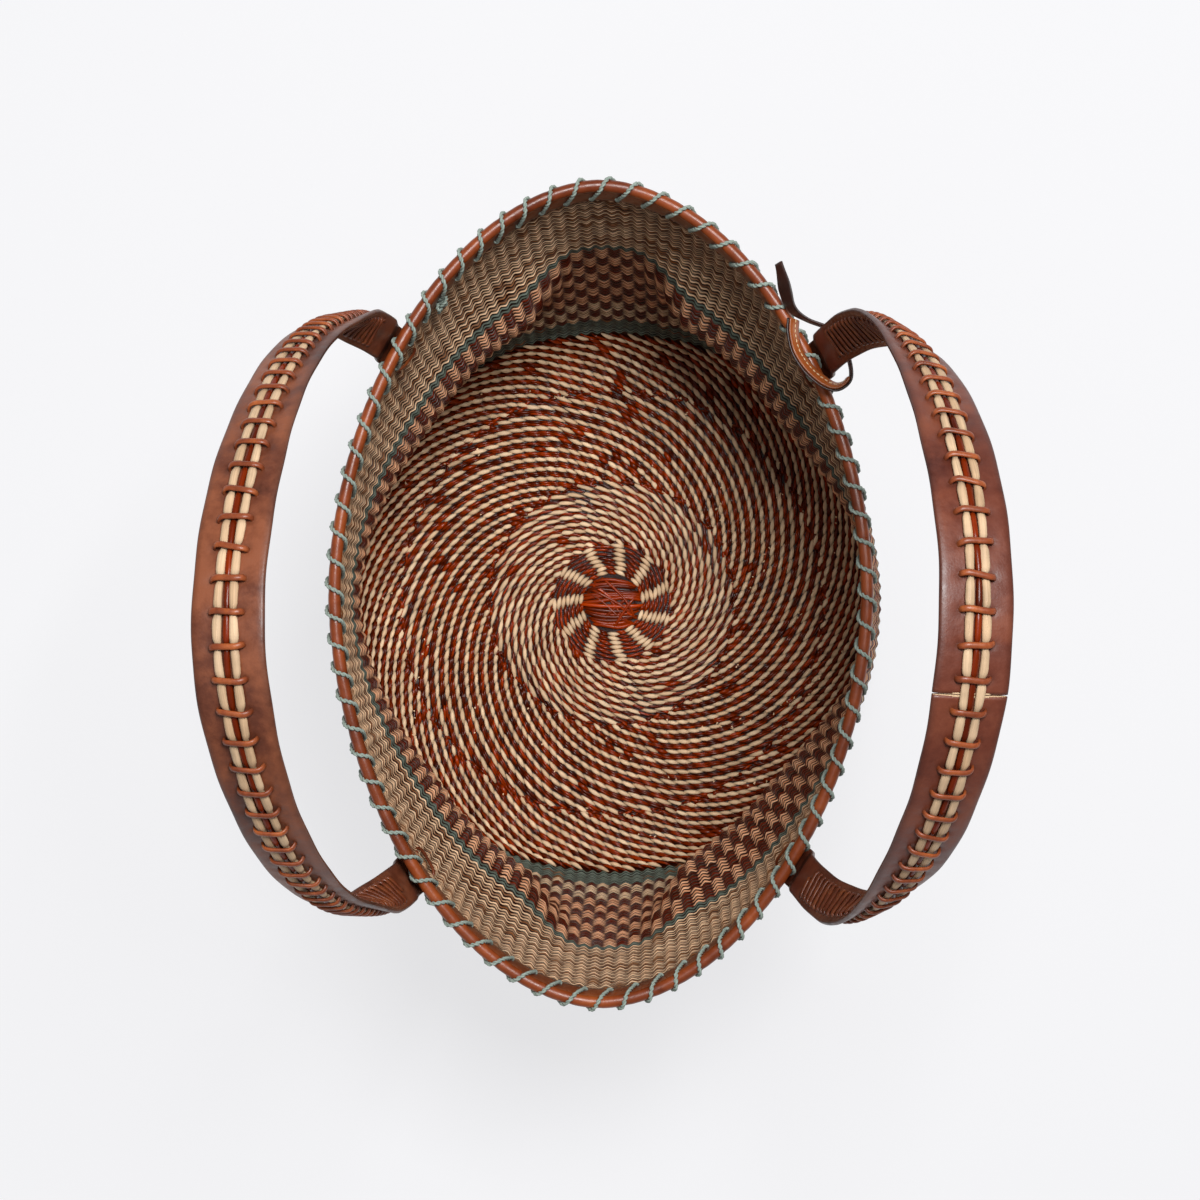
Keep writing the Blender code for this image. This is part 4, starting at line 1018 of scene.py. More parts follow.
    def strewn(
        self, straw: Straw, stray: Straw, chances: tuple[float, float], row: int, rib: Array
    ) -> tuple[Array, Array]:
        """One straw all round, with strays of another.

        Args:
            straw: The band's straw.
            stray: The straw of the strays.
            chances: How likely a rib has a stray, in the upper ten rows and below.
            row: The row's number from the top of the band.
            rib: The rib numbers.

        Returns:
            The straws in front and behind, which are the same.
        """
        astray = self.rng.random(self.shell.shape.ribs)[rib] < chances[0 if row < 10 else 1]
        chosen = np.where(astray, straw_index(stray), straw_index(straw))
        return chosen, chosen

    def check_straws(self, row: int, rib: Array) -> tuple[Array, Array]:
        """A rust and a light straw that change places at each rib and in each block of rows.

        Args:
            row: The row's number from the top of the band.
            rib: The rib numbers.

        Returns:
            The straws in front and behind.
        """
        block = row // self.block_rows
        light = straw_index(Straw.PINK if block < self.pink_blocks else Straw.CREAM)
        rust = straw_index(Straw.DARK_RUST)
        dark = (rib + block) % 2 == 0
        return np.where(dark, rust, light), np.where(dark, light, rust)

    def build(self) -> None:
        """The wall's colour bands, the base, the stakes and the knot."""
        shape, cream_split, (first, second) = self.shell.shape, 16, (18, 36)
        creamy = partial(self.strewn, Straw.WALL_CREAM, Straw.BROWN, (0.16, 0.05))
        grey = partial(self.strewn, Straw.GREY, Straw.GREY, (0, 0))
        speckled = partial(self.strewn, Straw.GREY, Straw.BROWN, (0.04, 0.04))
        cream = self.wall_rows(self.wall_top, shape.cream_band - self.wall_top, self.cream_rows, creamy)
        distance = shape.cream_band
        line = self.wall_rows(distance, shape.grey_line, self.line_rows, grey)
        distance += shape.grey_line
        checks = self.wall_rows(distance, shape.check_band, self.check_rows, self.check_straws)
        distance += shape.check_band
        band = self.wall_rows(distance, shape.grey_band, self.band_rows, speckled)
        add_piece("cream_wall_upper_rows", cream[:cream_split], Finish.STRAW, replaced=["upper_wall"])
        add_piece("cream_wall_lower_rows", cream[cream_split:], Finish.STRAW)
        add_piece("upper_grey_rows", line, Finish.STRAW, replaced=["upper_grey_line"])
        add_piece("pink_check_rows", checks[:first], Finish.STRAW, replaced=["check_band"])
        add_piece("middle_check_rows", checks[first:second], Finish.STRAW)
        add_piece("cream_check_rows", checks[second:], Finish.STRAW)
        add_piece("lower_grey_rows", band, Finish.STRAW, replaced=["lower_grey_band"])
        self.build_wedges()
        self.build_base(self.part_at(distance + shape.grey_band) * self.shell.end_length)
        self.build_clipped_ends()
        self.build_stakes()
        self.build_knot()

    def part_of_radius(self, radius: Array, share: Array) -> Array:
        """The part at a distance from the centre: true circles there, lines of even part further out."""
        even = smooth(0.08, 0.16, radius)
        return radius / (self.shell.length_at(share) * (1 - even) + self.shell.end_length * even)

    def stitches(
        self, share: Array, radius: Array, climb: Array | float, half_length: Array | float,
        half_width: Array | float, inside: bool, kind: Array, bright: Array,
    ) -> Tube:
        """A bundle of separate stitches, each a spindle between two crossings.

        For t from −1 to 1 the middle line runs half_length·t, turned outwards by the climb, and
        stands off the middle of the weave by lift·(0.3 + 0.7·cos(πt/2)). The section is an oval
        of the size cos(0.46πt)^0.6. Its colour is painted with shade towards its two sides and its
        two ends, and a slight highlight over its top and middle.

        Args:
            share: Each stitch's place round the basket.
            radius: Its distance from the centre, along the weave.
            climb: The angle that it makes with the line of even distance.
            half_length: Half its length.
            half_width: Half its width.
            inside: Whether it lies on the inside of the basket.
            kind: Index of its straw.
            bright: A factor on its colour.

        Returns:
            The stitches.
        """
        broad = inside and np.mean(half_width) > self.strand_half_width * 1.5
        sides, stations = (6, 6) if broad else (5, 4)
        t = np.linspace(-1, 1, stations)[None]
        sizes = (climb, half_length, half_width)
        climb, half_length, half_width = (np.broadcast_to(size, share.shape)[:, None] for size in sizes)
        share, radius = share[:, None], radius[:, None]
        part = self.part_of_radius(radius, share)
        near = 0.002
        ahead, behind = self.shell.at(share + near, part)[0], self.shell.at(share - near, part)[0]
        pace = np.linalg.norm(ahead - behind, axis=-1) / (2 * near)
        places = share + half_length * t * np.cos(climb) / pace
        ways = part + half_length * t * np.sin(climb) / self.shell.end_length
        point, outward, along, up = self.shell.at(places, ways)
        across = up * np.cos(climb)[..., None] - along * np.sin(climb)[..., None]
        arch = np.cos(math.pi / 2 * t)
        lift = (-self.inner_lift if inside else self.outer_lift) * (0.3 + 0.7 * arch)
        path = point + lift[..., None] * outward
        size = np.cos(0.46 * math.pi * t) ** 0.6
        high = self.stitch_half_height * np.minimum(half_width / self.stitch_half_width, 1)
        section = oval(sides, half_width * size, high * size)
        points = path[:, :, None] + section[..., :1] * across[:, :, None] + section[..., 1:] * outward[:, :, None]
        tone = self.rng.uniform(0, 0.75, share.shape) * np.ones_like(t)
        # Painted shade towards the two ends of each stitch, a slight painted highlight at its middle.
        shade = bright[:, None] * (0.72 + 0.32 * arch)
        colour = straw_colours(kind[:, None] * np.ones_like(t, int), tone, shade)[:, :, None]
        # Painted shade at the two sides of the section, a slight painted highlight over its top and bottom.
        edge = 0.66 + 0.42 * np.abs(np.sin(np.arange(sides) / sides * TAU))
        return Tube(points, colour * np.stack([edge, edge, edge, np.ones(sides)], axis=-1))

    def scattered(self, count: int, straw: Straw, low: float, high: float) -> tuple[Array, Array]:
        """The straw's index and a random brightness for each of a number of stitches."""
        return np.full(count, straw_index(straw)), self.rng.uniform(low, high, count)

    def build_wedges(self) -> None:
        """The first rows round the knot: over every second stake a light stitch of nearly the
        same length in each row, which makes eleven light wedges, and rust stitches between."""
        light, dark = [], []
        for row in range(self.wedge_rows):
            radius = self.shell.shape.knot_radius + self.wedge_gap + (row + 0.5) * self.base_row
            share = (np.arange(self.wedges) + 0.3) / self.wedges + self.wedge_lean * row
            share = share + self.rng.normal(0, 0.0026, self.wedges)
            gap = TAU * radius / self.wedges - 2 * self.wedge_half_length
            half = self.wedge_half_length * (0.86 + 0.14 * row / self.wedge_rows)
            at = np.full(self.wedges, radius)
            for inside in (True, False):
                climb = self.rng.normal(0.10, 0.10, self.wedges)
                kind, bright = self.scattered(self.wedges, Straw.CREAM, 0.92, 1.08)
                light.append(self.stitches(share, at, climb, half, self.stitch_half_width, inside, kind, bright))
                for step in (-0.22, 0.22):
                    between = share + 0.5 / self.wedges + step * gap / (TAU * radius)
                    width = self.strand_half_width * self.rng.uniform(0.9, 1.5, self.wedges)
                    kind, bright = self.scattered(self.wedges, Straw.RUST, 0.5, 1.2)
                    height = at + step * (2.5 * MM)
                    reach = 0.42 * gap + 2.2 * MM
                    dark.append(self.stitches(between, height, 0.15, reach, width, inside, kind, bright))
        add_piece("base_wedge_stitches", light, Finish.STRAW, replaced=["base_weave"])
        add_piece("base_wedge_strands", dark, Finish.STRAW)

    def zone_tubes(self, zone: int, end: float, inside: bool) -> tuple[Tube, list[Tube]]:
        """The arms of one zone of the base.

        An arm is a spiral, radius = start + rise·angle, with a light stitch at each row and rust
        strands beside it. Its rise follows the ribs of the zone: about 50, 110 and 150 to a turn.

        Args:
            zone: The zone's number from the centre.
            end: Its last distance from the centre.
            inside: Whether it lies on the inside of the basket.

        Returns:
            The light stitches, and the rust strands.
        """
        start, arms, rise = self.zone_starts[zone], self.zone_arms[zone], self.zone_rises[zone]
        grid = np.arange(start, end, self.base_row)[None] * np.ones((arms, 1))
        radius = grid.reshape(-1) + self.rng.normal(0, 0.15 * MM, grid.size)
        share = (np.arange(arms)[:, None] / arms + (grid - start) / (TAU * rise)).reshape(-1)
        climb = np.arctan(rise / radius)
        step = self.base_row / np.sin(climb)
        turned = climb + self.stitch_turn
        stray = self.rng.random(grid.size) < self.zone_stray_chances[zone]
        kind = np.where(stray, straw_index(Straw.RUST), straw_index(Straw.CREAM))
        width = self.stitch_half_width * self.rng.uniform(0.9, 1.12, grid.size)
        bright = self.rng.uniform(0.92, 1.08, grid.size)
        light = self.stitches(share, radius, turned, self.stitch_reach * step, width, inside, kind, bright)
        dark = []
        for offset, slip in self.upper_strands if inside else self.under_strands:
            slide = (slip - 0.5) * self.base_row
            beside = share + offset / arms + slide / (TAU * rise)
            width = self.strand_half_width * self.rng.uniform(0.85, 1.25, grid.size)
            width = width * self.zone_strand_widths[zone]
            kind, bright = self.scattered(grid.size, Straw.RUST, 0.28, 1.15)
            reach = self.strand_reach * step
            dark.append(self.stitches(beside, radius + slide, turned, reach, width, inside, kind, bright))
        return light, dark

    def ring_tubes(self, inside: bool) -> list[Tube]:
        """The rings of short rust stitches between the zones, where stakes were added.

        Args:
            inside: Whether the stitches lie on the inside of the basket.

        Returns:
            The stitches of each row.
        """
        tubes = []
        for start, end in zip(self.zone_ends, self.zone_starts[1:]):
            for radius in np.arange(start + 0.8 * MM, end, self.ring_row):
                count = int(TAU * radius / self.ring_step)
                share = (np.arange(count) + self.rng.uniform(-0.3, 0.3, count)) / count
                width = self.strand_half_width * self.rng.uniform(1.0, 1.6, count)
                climb = self.rng.normal(0.2, 0.35, count)
                kind, bright = self.scattered(count, Straw.RUST, 0.35, 1.2)
                at, reach = np.full(count, radius), self.ring_half_length
                tubes.append(self.stitches(share, at, climb, reach, width, inside, kind, bright))
        return tubes

    def build_base(self, last: float) -> None:
        """The swirl of light stitches with rust strands between, zone by zone, on both sides.

        Args:
            last: Where the base ends, measured along the weave from the centre.
        """
        ends = (*self.zone_ends, last - 1.2 * MM)
        for name, inside in (("upper", True), ("under", False)):
            light, dark = [], []
            for zone, end in enumerate(ends):
                stitches, strands = self.zone_tubes(zone, end, inside)
                light.append(stitches)
                dark += strands
            dark += self.ring_tubes(inside)
            add_piece(f"base_{name}_stitches", light, Finish.STRAW)
            add_piece(f"base_{name}_strands", dark, Finish.STRAW)

    def build_clipped_ends(self) -> None:
        """Small pale clipped tips of the stakes that were added in the base, lying in curved
        lines outwards from where they were added. They are coloured brighter than the cream,
        partly as their own pale cut ends and partly as painted glints."""
        count = self.clipped_count
        arm = self.rng.integers(0, self.wedges, count)
        way = self.rng.random(count) ** 0.8
        radius = self.zone_starts[1] + way * self.clipped_reach
        share = arm / self.wedges + 0.16 * way + self.rng.normal(0, 0.004, count)
        climb = self.rng.uniform(0, math.pi, count)
        half_length = self.rng.uniform(0.7, 1.2, count) * MM
        half_width = self.rng.uniform(0.35, 0.6, count) * MM
        # Brighter than the cream (1.1 to 1.4): pale cut ends, partly painted glints.
        kind, bright = self.scattered(count, Straw.CREAM, 1.1, 1.4)
        tips = self.stitches(share, radius, climb, half_length, half_width, True, kind, bright)
        _, outward, _, _ = self.shell.at(share, self.part_of_radius(radius, share))
        tips.points = tips.points - 0.6 * MM * outward[:, None, None]
        add_piece("clipped_stake_ends", [tips], Finish.STRAW)

    def build_stakes(self) -> None:
        """The stakes inside the weave, as one ribbed layer from the knot to the rim, painted nearly black
        as the shade in the gaps between the rows: a shell of half thickness h·(0.6 + 0.4·cos²) across
        each stake."""
        ribs, samples = self.shell.shape.ribs, 3
        phase = np.arange(ribs * samples) / samples
        share = (self.shell.shape.lashing_start_share + (phase + 0.5) / ribs)[:, None]
        part = np.linspace(0.012, 0.992, 80)[None, :]
        point, outward, _, _ = self.shell.at(share, part)
        half = self.stake_half_thickness * (0.6 + 0.4 * np.cos(math.pi * phase) ** 2)[:, None, None]
        points = np.concatenate([point + half * outward, (point - half * outward)[:, ::-1]], axis=1)
        kind = np.full(points.shape[:2], straw_index(Straw.DARK_RUST))
        # Painted shade: dark rust at 0.35 of its colour, seen in the gaps between the rows.
        colour = straw_colours(kind, np.full(kind.shape, 0.8), np.full(kind.shape, 0.35))
        add_piece("stakes", [Tube(points, colour, True)], Finish.STRAW)

    def knot_pad(self) -> Tube:
        """The low round pad of the knot: a profile of radius and height turned about the middle,
        painted nearly black as the shade between the straws over it.

        Returns:
            The tube.
        """
        angle = np.linspace(0, TAU, 33)[:-1]
        radius = np.array([0.02, 0.5, 0.85, 1, 0.85, 0.4, 0.02]) * (self.shell.shape.knot_radius - 1 * MM)
        lift = np.array([0.9, 0.85, 0.55, 0, -0.8, -1, -1]) * 1.7 * MM + 2.25 * MM
        x, y = np.cos(angle)[None] * radius[:, None], np.sin(angle)[None] * radius[:, None]
        points = np.stack([x, y, np.repeat(lift[:, None], len(angle), axis=1)], axis=-1)
        kind = np.full(points.shape[:2], straw_index(Straw.DARK_RUST))
        # Painted shade: dark rust at 0.7 of its colour under the straws.
        return Tube(points, straw_colours(kind, np.full(kind.shape, 0.9), np.full(kind.shape, 0.7)))

    def knot_straw(self, number: int) -> Tube:
        """One thick bowed straw of the knot.

        The crossing straws lie side by side over the pad, the others on the slant over their ends.
        For t from −1 to 1, x = reach·t and y = offset + bow·(1 − t²), and the ends bend down by t⁴.

        Args:
            number: The straw's number, the crossing ones first.

        Returns:
            The tube.
        """
        crossing, radius = number < self.knot_crossing, self.shell.shape.knot_radius
        if crossing:
            slant = self.rng.normal(0, 0.06)
            offset = (number / (self.knot_crossing - 1) - 0.5) * 1.45 * radius
        else:
            slant = self.rng.choice(self.knot_slants) + self.rng.normal(0, 0.12)
            offset = self.rng.uniform(-0.6, 0.5) * radius
        reach = math.sqrt(max(1 - (offset / (0.95 * radius)) ** 2, 0.2)) * radius * self.rng.uniform(0.98, 1.22)
        bow = self.rng.uniform(0.5, 2.6) * MM * np.sign(offset) if crossing else self.rng.normal(0, 1.6 * MM)
        t = np.linspace(-1, 1, 13)
        local_x = t * reach * (1.0 if crossing else 0.88)
        local_y = offset + bow * (1 - t * t) + self.rng.normal(0, 0.4 * MM) * np.sin(3 * t)
        x = local_x * math.cos(slant) - local_y * math.sin(slant)
        y = local_x * math.sin(slant) + local_y * math.cos(slant)
        z = self.knot_height if crossing else self.knot_upper_height
        z = z + self.rng.uniform(0, 0.8) * MM - 1.5 * MM * t**4
        path = np.stack([x, y, z], axis=-1)
        way = along_path(path)
        side = unit(np.cross(way, [0, 0, 1.0]))
        size = (self.rng.uniform(1.05, 1.35) if crossing else self.rng.uniform(0.75, 1.05)) * MM
        size = size * (1 - 0.45 * t**6)
        bright = np.full(len(t), self.rng.uniform(0.8, 1.6))
        tone = np.full(len(t), self.rng.uniform(0, 0.8))
        colour = straw_colours(np.full(len(t), straw_index(Straw.RUST)), tone, bright)
        return carry(path, side, np.cross(side, way), oval(8, size, size * 0.8), colour=colour)

    def build_knot(self) -> None:
        """The knotted centre: a low pad under a dozen thick bowed straws that run from side to
        side, with thinner ones on the slant over their ends."""
        tubes = [self.knot_pad()] + [self.knot_straw(number) for number in range(self.knot_straws)]
        add_piece("base_knot_straws", tubes, Finish.STRAW, replaced=["base_knot"])


# ---------------------------------------------------------------- the bound rim


@dataclass
class BoundRim:
    """The leather folded over the rim, and the cord whipped round it."""

    shell: Shell
    roll_radius: float = 3.2 * MM
    leather: float = 1.0 * MM
    flange_inner: float = 1.75 * MM
    flange_drop: float = 14.2 * MM
    edge_waver: float = 0.5 * MM
    roll_angles: tuple[float, float] = (214, -34)
    top_bite_width: float = 0.10
    top_bite_depth: float = 0.22 * MM
    hole_bite_width: float = 0.12
    hole_bite_depth: float = 0.55 * MM
    cord_radius: float = 1.08 * MM
    ply_radius: float = 0.66 * MM
    lay: float = 5.2 * MM
    stitch_depth: float = 10.9 * MM
    end_knot_depth: float = 17 * MM
    end_knot_size: float = 1.45 * MM
    end_knot_standoff: float = 4.4 * MM
    stations: int = 10
    rng: np.random.Generator = field(default_factory=lambda: np.random.default_rng(5))

    def build(self) -> None:
        """Leather, lashing and the knot at its end."""
        self.build_leather()
        self.build_lashing()
        self.build_knot()

    def build_leather(self) -> None:
        """The leather fold: a roll of 248° on two flanges. Each stitch bites in by a bell curve
        along the rim, at the roll's top and at the flange's hole, whose widths are in stitches."""
        shape = self.shell.shape
        number = np.arange(shape.stitches * self.stations) / self.stations
        share = self.shell.stitch_share(number)
        centre, outward, along, up = self.shell.rim(share)
        nearest = np.abs(number - np.round(number))
        over_top = np.abs(number + 0.5 - np.round(number + 0.5))
        top_bite = np.exp(-((over_top / self.top_bite_width) ** 2))
        hole_bite = np.exp(-((nearest / self.hole_bite_width) ** 2))
        drop = self.flange_drop + self.edge_waver * wobble(share, self.rng, (5, 13, 31))
        outside = self.flange_inner + self.leather
        radius = self.roll_radius - self.top_bite_depth * top_bite
        flank = [
            (-self.flange_inner, -drop),
            (-outside + 0.25 * MM * hole_bite, -drop + 0.2 * MM),
            (-outside - 0.2 * MM + self.hole_bite_depth * hole_bite, -self.stitch_depth),
            (-outside - 0.15 * MM, -7.0 * MM),
            (-outside + 0.05 * MM, -3.6 * MM),
        ]
        roll = np.radians(np.linspace(*self.roll_angles, 17))
        inner, neck = self.roll_radius - self.leather - 0.2 * MM, -3.4 * MM
        rows = flank + [(radius * math.cos(a), radius * math.sin(a)) for a in roll]
        rows += [(-across, rise) for across, rise in reversed(flank)] + [(self.flange_inner, neck)]
        rows += [(inner * math.cos(a), inner * math.sin(a)) for a in np.radians([10, 90, 170])]
        rows += [(-self.flange_inner, neck)]
        section = np.stack([np.stack(np.broadcast_arrays(*pair, drop)[:2], axis=-1) for pair in rows], axis=1)
        # Painted shade: the flange under the roll at 0.62, darker again at each stitch hole, and the roll darker where
        # the cord bites over its top.
        shade = np.ones((len(share), len(rows), 4))
        hole_shade = 1 - 0.25 * hole_bite
        for column, (_, rise) in enumerate(rows):
            low = smooth(-3 * MM, -6 * MM, np.mean(rise))
            shade[:, column, :3] = (1 - low * (1 - 0.62 * hole_shade) - (1 - low) * 0.22 * top_bite)[:, None]
        fold = [carry(centre, outward, up, section, True, shade)]
        add_piece("rim_leather_fold", fold, Finish.RIM_LEATHER, replaced=["rim_leather"])

    def lashing_path(self) -> tuple[Array, Array]:
        """The cord's centre line, and the rim's own way along beside it.

        Each turn goes in through the hole, up the inside while it moves on, steeply over the
        roll, and down the outside to the next hole.

        Returns:
            The stations and the reference ways.
        """
        reach = self.roll_radius + 0.85 * self.cord_radius
        low = self.flange_inner + self.leather + 0.95 * self.cord_radius
        turn_shares = (
            (0.00, 0.60, 1.00, -1.00),
            (0.00, -0.60, 1.00, -1.00),
            (-0.07, -1.00, 1.00, -0.82),
            (-0.18, -1.06, 1.00, -0.40),
            (-0.30, 0, -0.98, -0.05),
            (-0.42, 0, -0.72, 0.70),
            (-0.54, 0, -0.05, 1.02),
            (-0.66, 0, 0.70, 0.72),
            (-0.78, 0, 1.00, -0.05),
            (-0.90, 1.03, 1.00, -0.50),
            (-0.96, 1.00, 1.00, -0.88),
        )
        places = []
        for number in reversed(range(self.shell.shape.stitches)):
            for advance, flank, roll, rise in turn_shares:
                if flank:
                    places.append((number + advance, flank * low, rise * self.stitch_depth))
                else:
                    places.append((number + advance, roll * reach, rise * reach))
        keys = np.array(places)[1:]
        line = catmull(keys, 3)
        centre, outward, along, up = self.shell.rim(self.shell.stitch_share(line[:, 0]))
        return centre + line[:, 1:2] * outward + line[:, 2:3] * up, along

    def build_lashing(self) -> None:
        """Two plies of grey-green cord."""
        path, along = self.lashing_path()
        tubes = plies(path, along, self.ply_radius, self.lay, 2, 6)
        add_piece("rim_lashing_cord", tubes, Finish.GREY_CORD, replaced=["rim_lashing"])

    def build_knot(self) -> None:
        """The overhand knot at the lashing's end, inside the wall: a trefoil
        (sin t + 2 sin 2t, cos t − 2 cos 2t, −sin 3t), with a short tail."""
        share = self.shell.stitch_share(-1.0)
        place, outward, along, _ = self.shell.below(share, self.end_knot_depth)
        up = np.cross(outward, along)
        t = np.linspace(0, TAU, 61)[:-1]
        size = self.end_knot_size
        across, high, out = np.sin(t) + 2 * np.sin(2 * t), np.cos(t) - 2 * np.cos(2 * t), -np.sin(3 * t)
        middle = place - outward * self.end_knot_standoff
        path = middle + size * (across[:, None] * along + high[:, None] * up + 0.7 * out[:, None] * outward)
        tubes = plies(path, np.repeat(outward[None], len(path), axis=0), 0.55 * MM, 4.3 * MM, 2, 6, True)
        tail_keys = np.array([[0.5, -1.0, 0.2], [1.5, -3.5, 0.1], [1.0, -6.0, 0.3], [2.4, -8.0, 0.5]]) * size
        tail = middle + catmull(tail_keys, 8) @ np.stack([along, up, outward])
        tubes += plies(tail, np.repeat(outward[None], len(tail), axis=0), 0.5 * MM, 4.0 * MM, 2, 6)
        add_piece("lashing_end_knot", tubes, Finish.GREY_CORD, replaced=["lashing_knot"])


# ---------------------------------------------------------------- the handles


@dataclass
class StrapHandle:
    """One strap handle: leather strap, three straw cords and the lacing, from the end on the
    outside of the wall over the arch to the other end."""

    shell: Shell
    name: str
    first_share: float
    last_share: float
    height: float
    shift: float
    twist_length: float
    lean: float
    side_roundness: float
    top_roundness: float
    bulge_share: float
    finish: Finish
    slot: str
    cad_straps: tuple[str, ...]
    seam_from_middle: float | None = None
    seed: int = 3
    thickness: float = 3.2 * MM
    end_width: float = 22.6 * MM
    middle_width: float = 33.0 * MM
    widening: float = 300 * MM
    standoff: float = 8.2 * MM
    tab_length: float = 47 * MM
    tab_settle_start: float = 13.5 * MM
    tab_settle_end: float = 22.5 * MM
    rim_reach: float = 10 * MM
    hinge_reach: float = 4 * MM
    tab_stitch_depths: tuple[float, ...] = (27.0 * MM, 38.0 * MM)
    free_end: float = 17.0 * MM
    hole_offset: float = 7.3 * MM
    pit_length: float = 1.9 * MM
    pit_width: float = 1.8 * MM
    pit_depth: float = 0.6 * MM
    lace_half_width: float = 1.45 * MM
    lace_half_thickness: float = 0.85 * MM
    cord_pitch: float = 3.5 * MM
    cream_half_width: float = 1.95 * MM
    cream_half_height: float = 1.35 * MM
    rust_half_width: float = 1.45 * MM
    rust_half_height: float = 1.15 * MM
    stitch_count: int = 60
    crowding_share: float = 0.42
    fine_run: Array = field(init=False)
    fine_points: Array = field(init=False)

    def __post_init__(self) -> None:
        """Works out the arch and its length."""
        self.rng = np.random.default_rng(self.seed)
        self.fine_points = self.arch(np.linspace(0, math.pi, 2401))
        steps = np.linalg.norm(np.diff(self.fine_points, axis=0), axis=1)
        self.fine_run = np.concatenate([[0], np.cumsum(steps)])
        self.length = float(self.fine_run[-1])

    def hinges(self) -> tuple[Array, Array]:
        """The places where the strap bends at the rim, and the outward way at each."""
        centre, outward, _, _ = self.shell.rim([self.first_share, self.last_share])
        return centre + outward * self.standoff, outward

    def arch(self, turn: Array) -> Array:
        """The centre line: a superellipse that stands on the two hinges, a little wider half way
        up, leaning outwards, with its top shifted along the basket.

        Args:
            turn: Angles of the superellipse, 0 at the first hinge and π at the last.

        Returns:
            The points.
        """
        ends, _ = self.hinges()
        middle = ends.mean(axis=0)
        half_span = np.linalg.norm(ends[0] - ends[1]) / 2
        toward = unit(ends[0] - ends[1])
        outward = np.cross(toward, [0, 0, 1])
        outward = unit(outward) * math.copysign(1, outward[0] * middle[0])
        rise = np.cross(outward, toward)
        rise = unit(rise) * math.copysign(1, rise[2])
        rise = rise * math.cos(self.lean) + outward * math.sin(self.lean)
        c, s = np.cos(turn), np.maximum(np.sin(turn), 0)
        across = half_span * np.sign(c) * np.abs(c) ** (2 / self.side_roundness)
        risen = s ** (2 / self.top_roundness)
        across = across * (1 + self.bulge_share * 4 * risen * (1 - risen)) - self.shift * s**2
        return middle + across[:, None] * toward + self.height * risen[:, None] * rise

    def at(self, run: Array) -> Array:
        """Points of the centre line at distances from the first hinge."""
        return read_off(run, self.fine_run, self.fine_points)

    def frames(self, run: Array) -> tuple[Array, Array, Array]:
        """Centre, across and front of the strap.

        Between the hinges the strap follows the arch: flat against the rim at the ends, it twists
        until its front faces out of the arch. Before the first hinge and after the last it lies
        on the outside of the wall.

        Args:
            run: Distances from the first hinge, negative down the first end.

        Returns:
            The centre points and the two unit ways.
        """
        run = np.asarray(run, float)
        ends, rim_out = self.hinges()
        inside = np.clip(run, 0, self.length)
        step = self.length / 400
        centre = self.at(inside)
        along = unit(self.at(np.minimum(inside + step, self.length)) - self.at(np.maximum(inside - step, 0)))
        top = self.arch(np.array([math.pi / 2]))[0]
        plane = unit(np.cross(ends[0] - ends[1], top - ends.mean(axis=0)))
        arch_out = np.cross(along, plane)
        arch_out = arch_out * np.sign(np.sum(arch_out * (centre - ends.mean(axis=0)), axis=1, keepdims=True))
        rim_side = np.where((run < self.length / 2)[:, None], rim_out[0], rim_out[1])
        near_end = np.minimum(inside, self.length - inside)
        twist = smooth(0, self.twist_length, near_end)[:, None]
        front = rim_side * (1 - twist) + arch_out * twist
        for tail, share in ((run < 0, self.first_share), (run > self.length, self.last_share)):
            depth = np.where(run < 0, -run, run - self.length)
            place, outward, _, _ = self.shell.below(share, np.maximum(depth, 0))
            settle = smooth(self.tab_settle_start, self.tab_settle_end, depth)[:, None]
            low = self.shell.shape.wall_thickness / 2 + self.thickness / 2 + 0.5 * MM
            rim_centre, rim_outward, _, _ = self.shell.rim(share)
            near_rim = smooth(self.rim_reach, 0, depth)[:, None]
            outward = unit(outward * (1 - near_rim) + rim_outward * near_rim)
            lying = place + outward * (self.standoff * (1 - settle) + low * settle)
            hinge = rim_centre + rim_outward * self.standoff
            near_hinge = smooth(self.hinge_reach, 0, depth)[:, None]
            lying = lying * (1 - near_hinge) + (hinge + (place - rim_centre)) * near_hinge
            centre = np.where(tail[:, None], lying, centre)
            front = np.where(tail[:, None], outward, front)
        way = unit(np.gradient(centre, axis=0)) if len(run) > 2 else along
        front = square_to(way, front)
        return centre, np.cross(way, front), front

    def half_width(self, run: Array) -> Array:
        """Half the strap's width: narrow at the rim, full over the arch."""
        grown = smooth(0, self.widening, np.clip(np.minimum(run, self.length - run), 0, None))
        return (self.end_width + (self.middle_width - self.end_width) * grown) / 2

    def stitches(self) -> Array:
        """Where the lace crosses the strap: closer on the legs than over the top of the arch."""
        place = (np.arange(self.stitch_count) + 0.5) / self.stitch_count
        place = place - self.crowding_share * np.sin(TAU * place) / TAU
        return self.free_end + place * (self.length - 2 * self.free_end)

    def ride(self, piece: bpy.types.Object) -> None:
        """Bakes a piece's transform into its mesh."""
        x, y, z = self.hinges()[0].mean(axis=0)
        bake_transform(piece)

    def build(self) -> None:
        """Strap, cords and lacing."""
        self.build_strap()
        self.build_cords()
        self.build_lace()
        self.build_tab_laces()

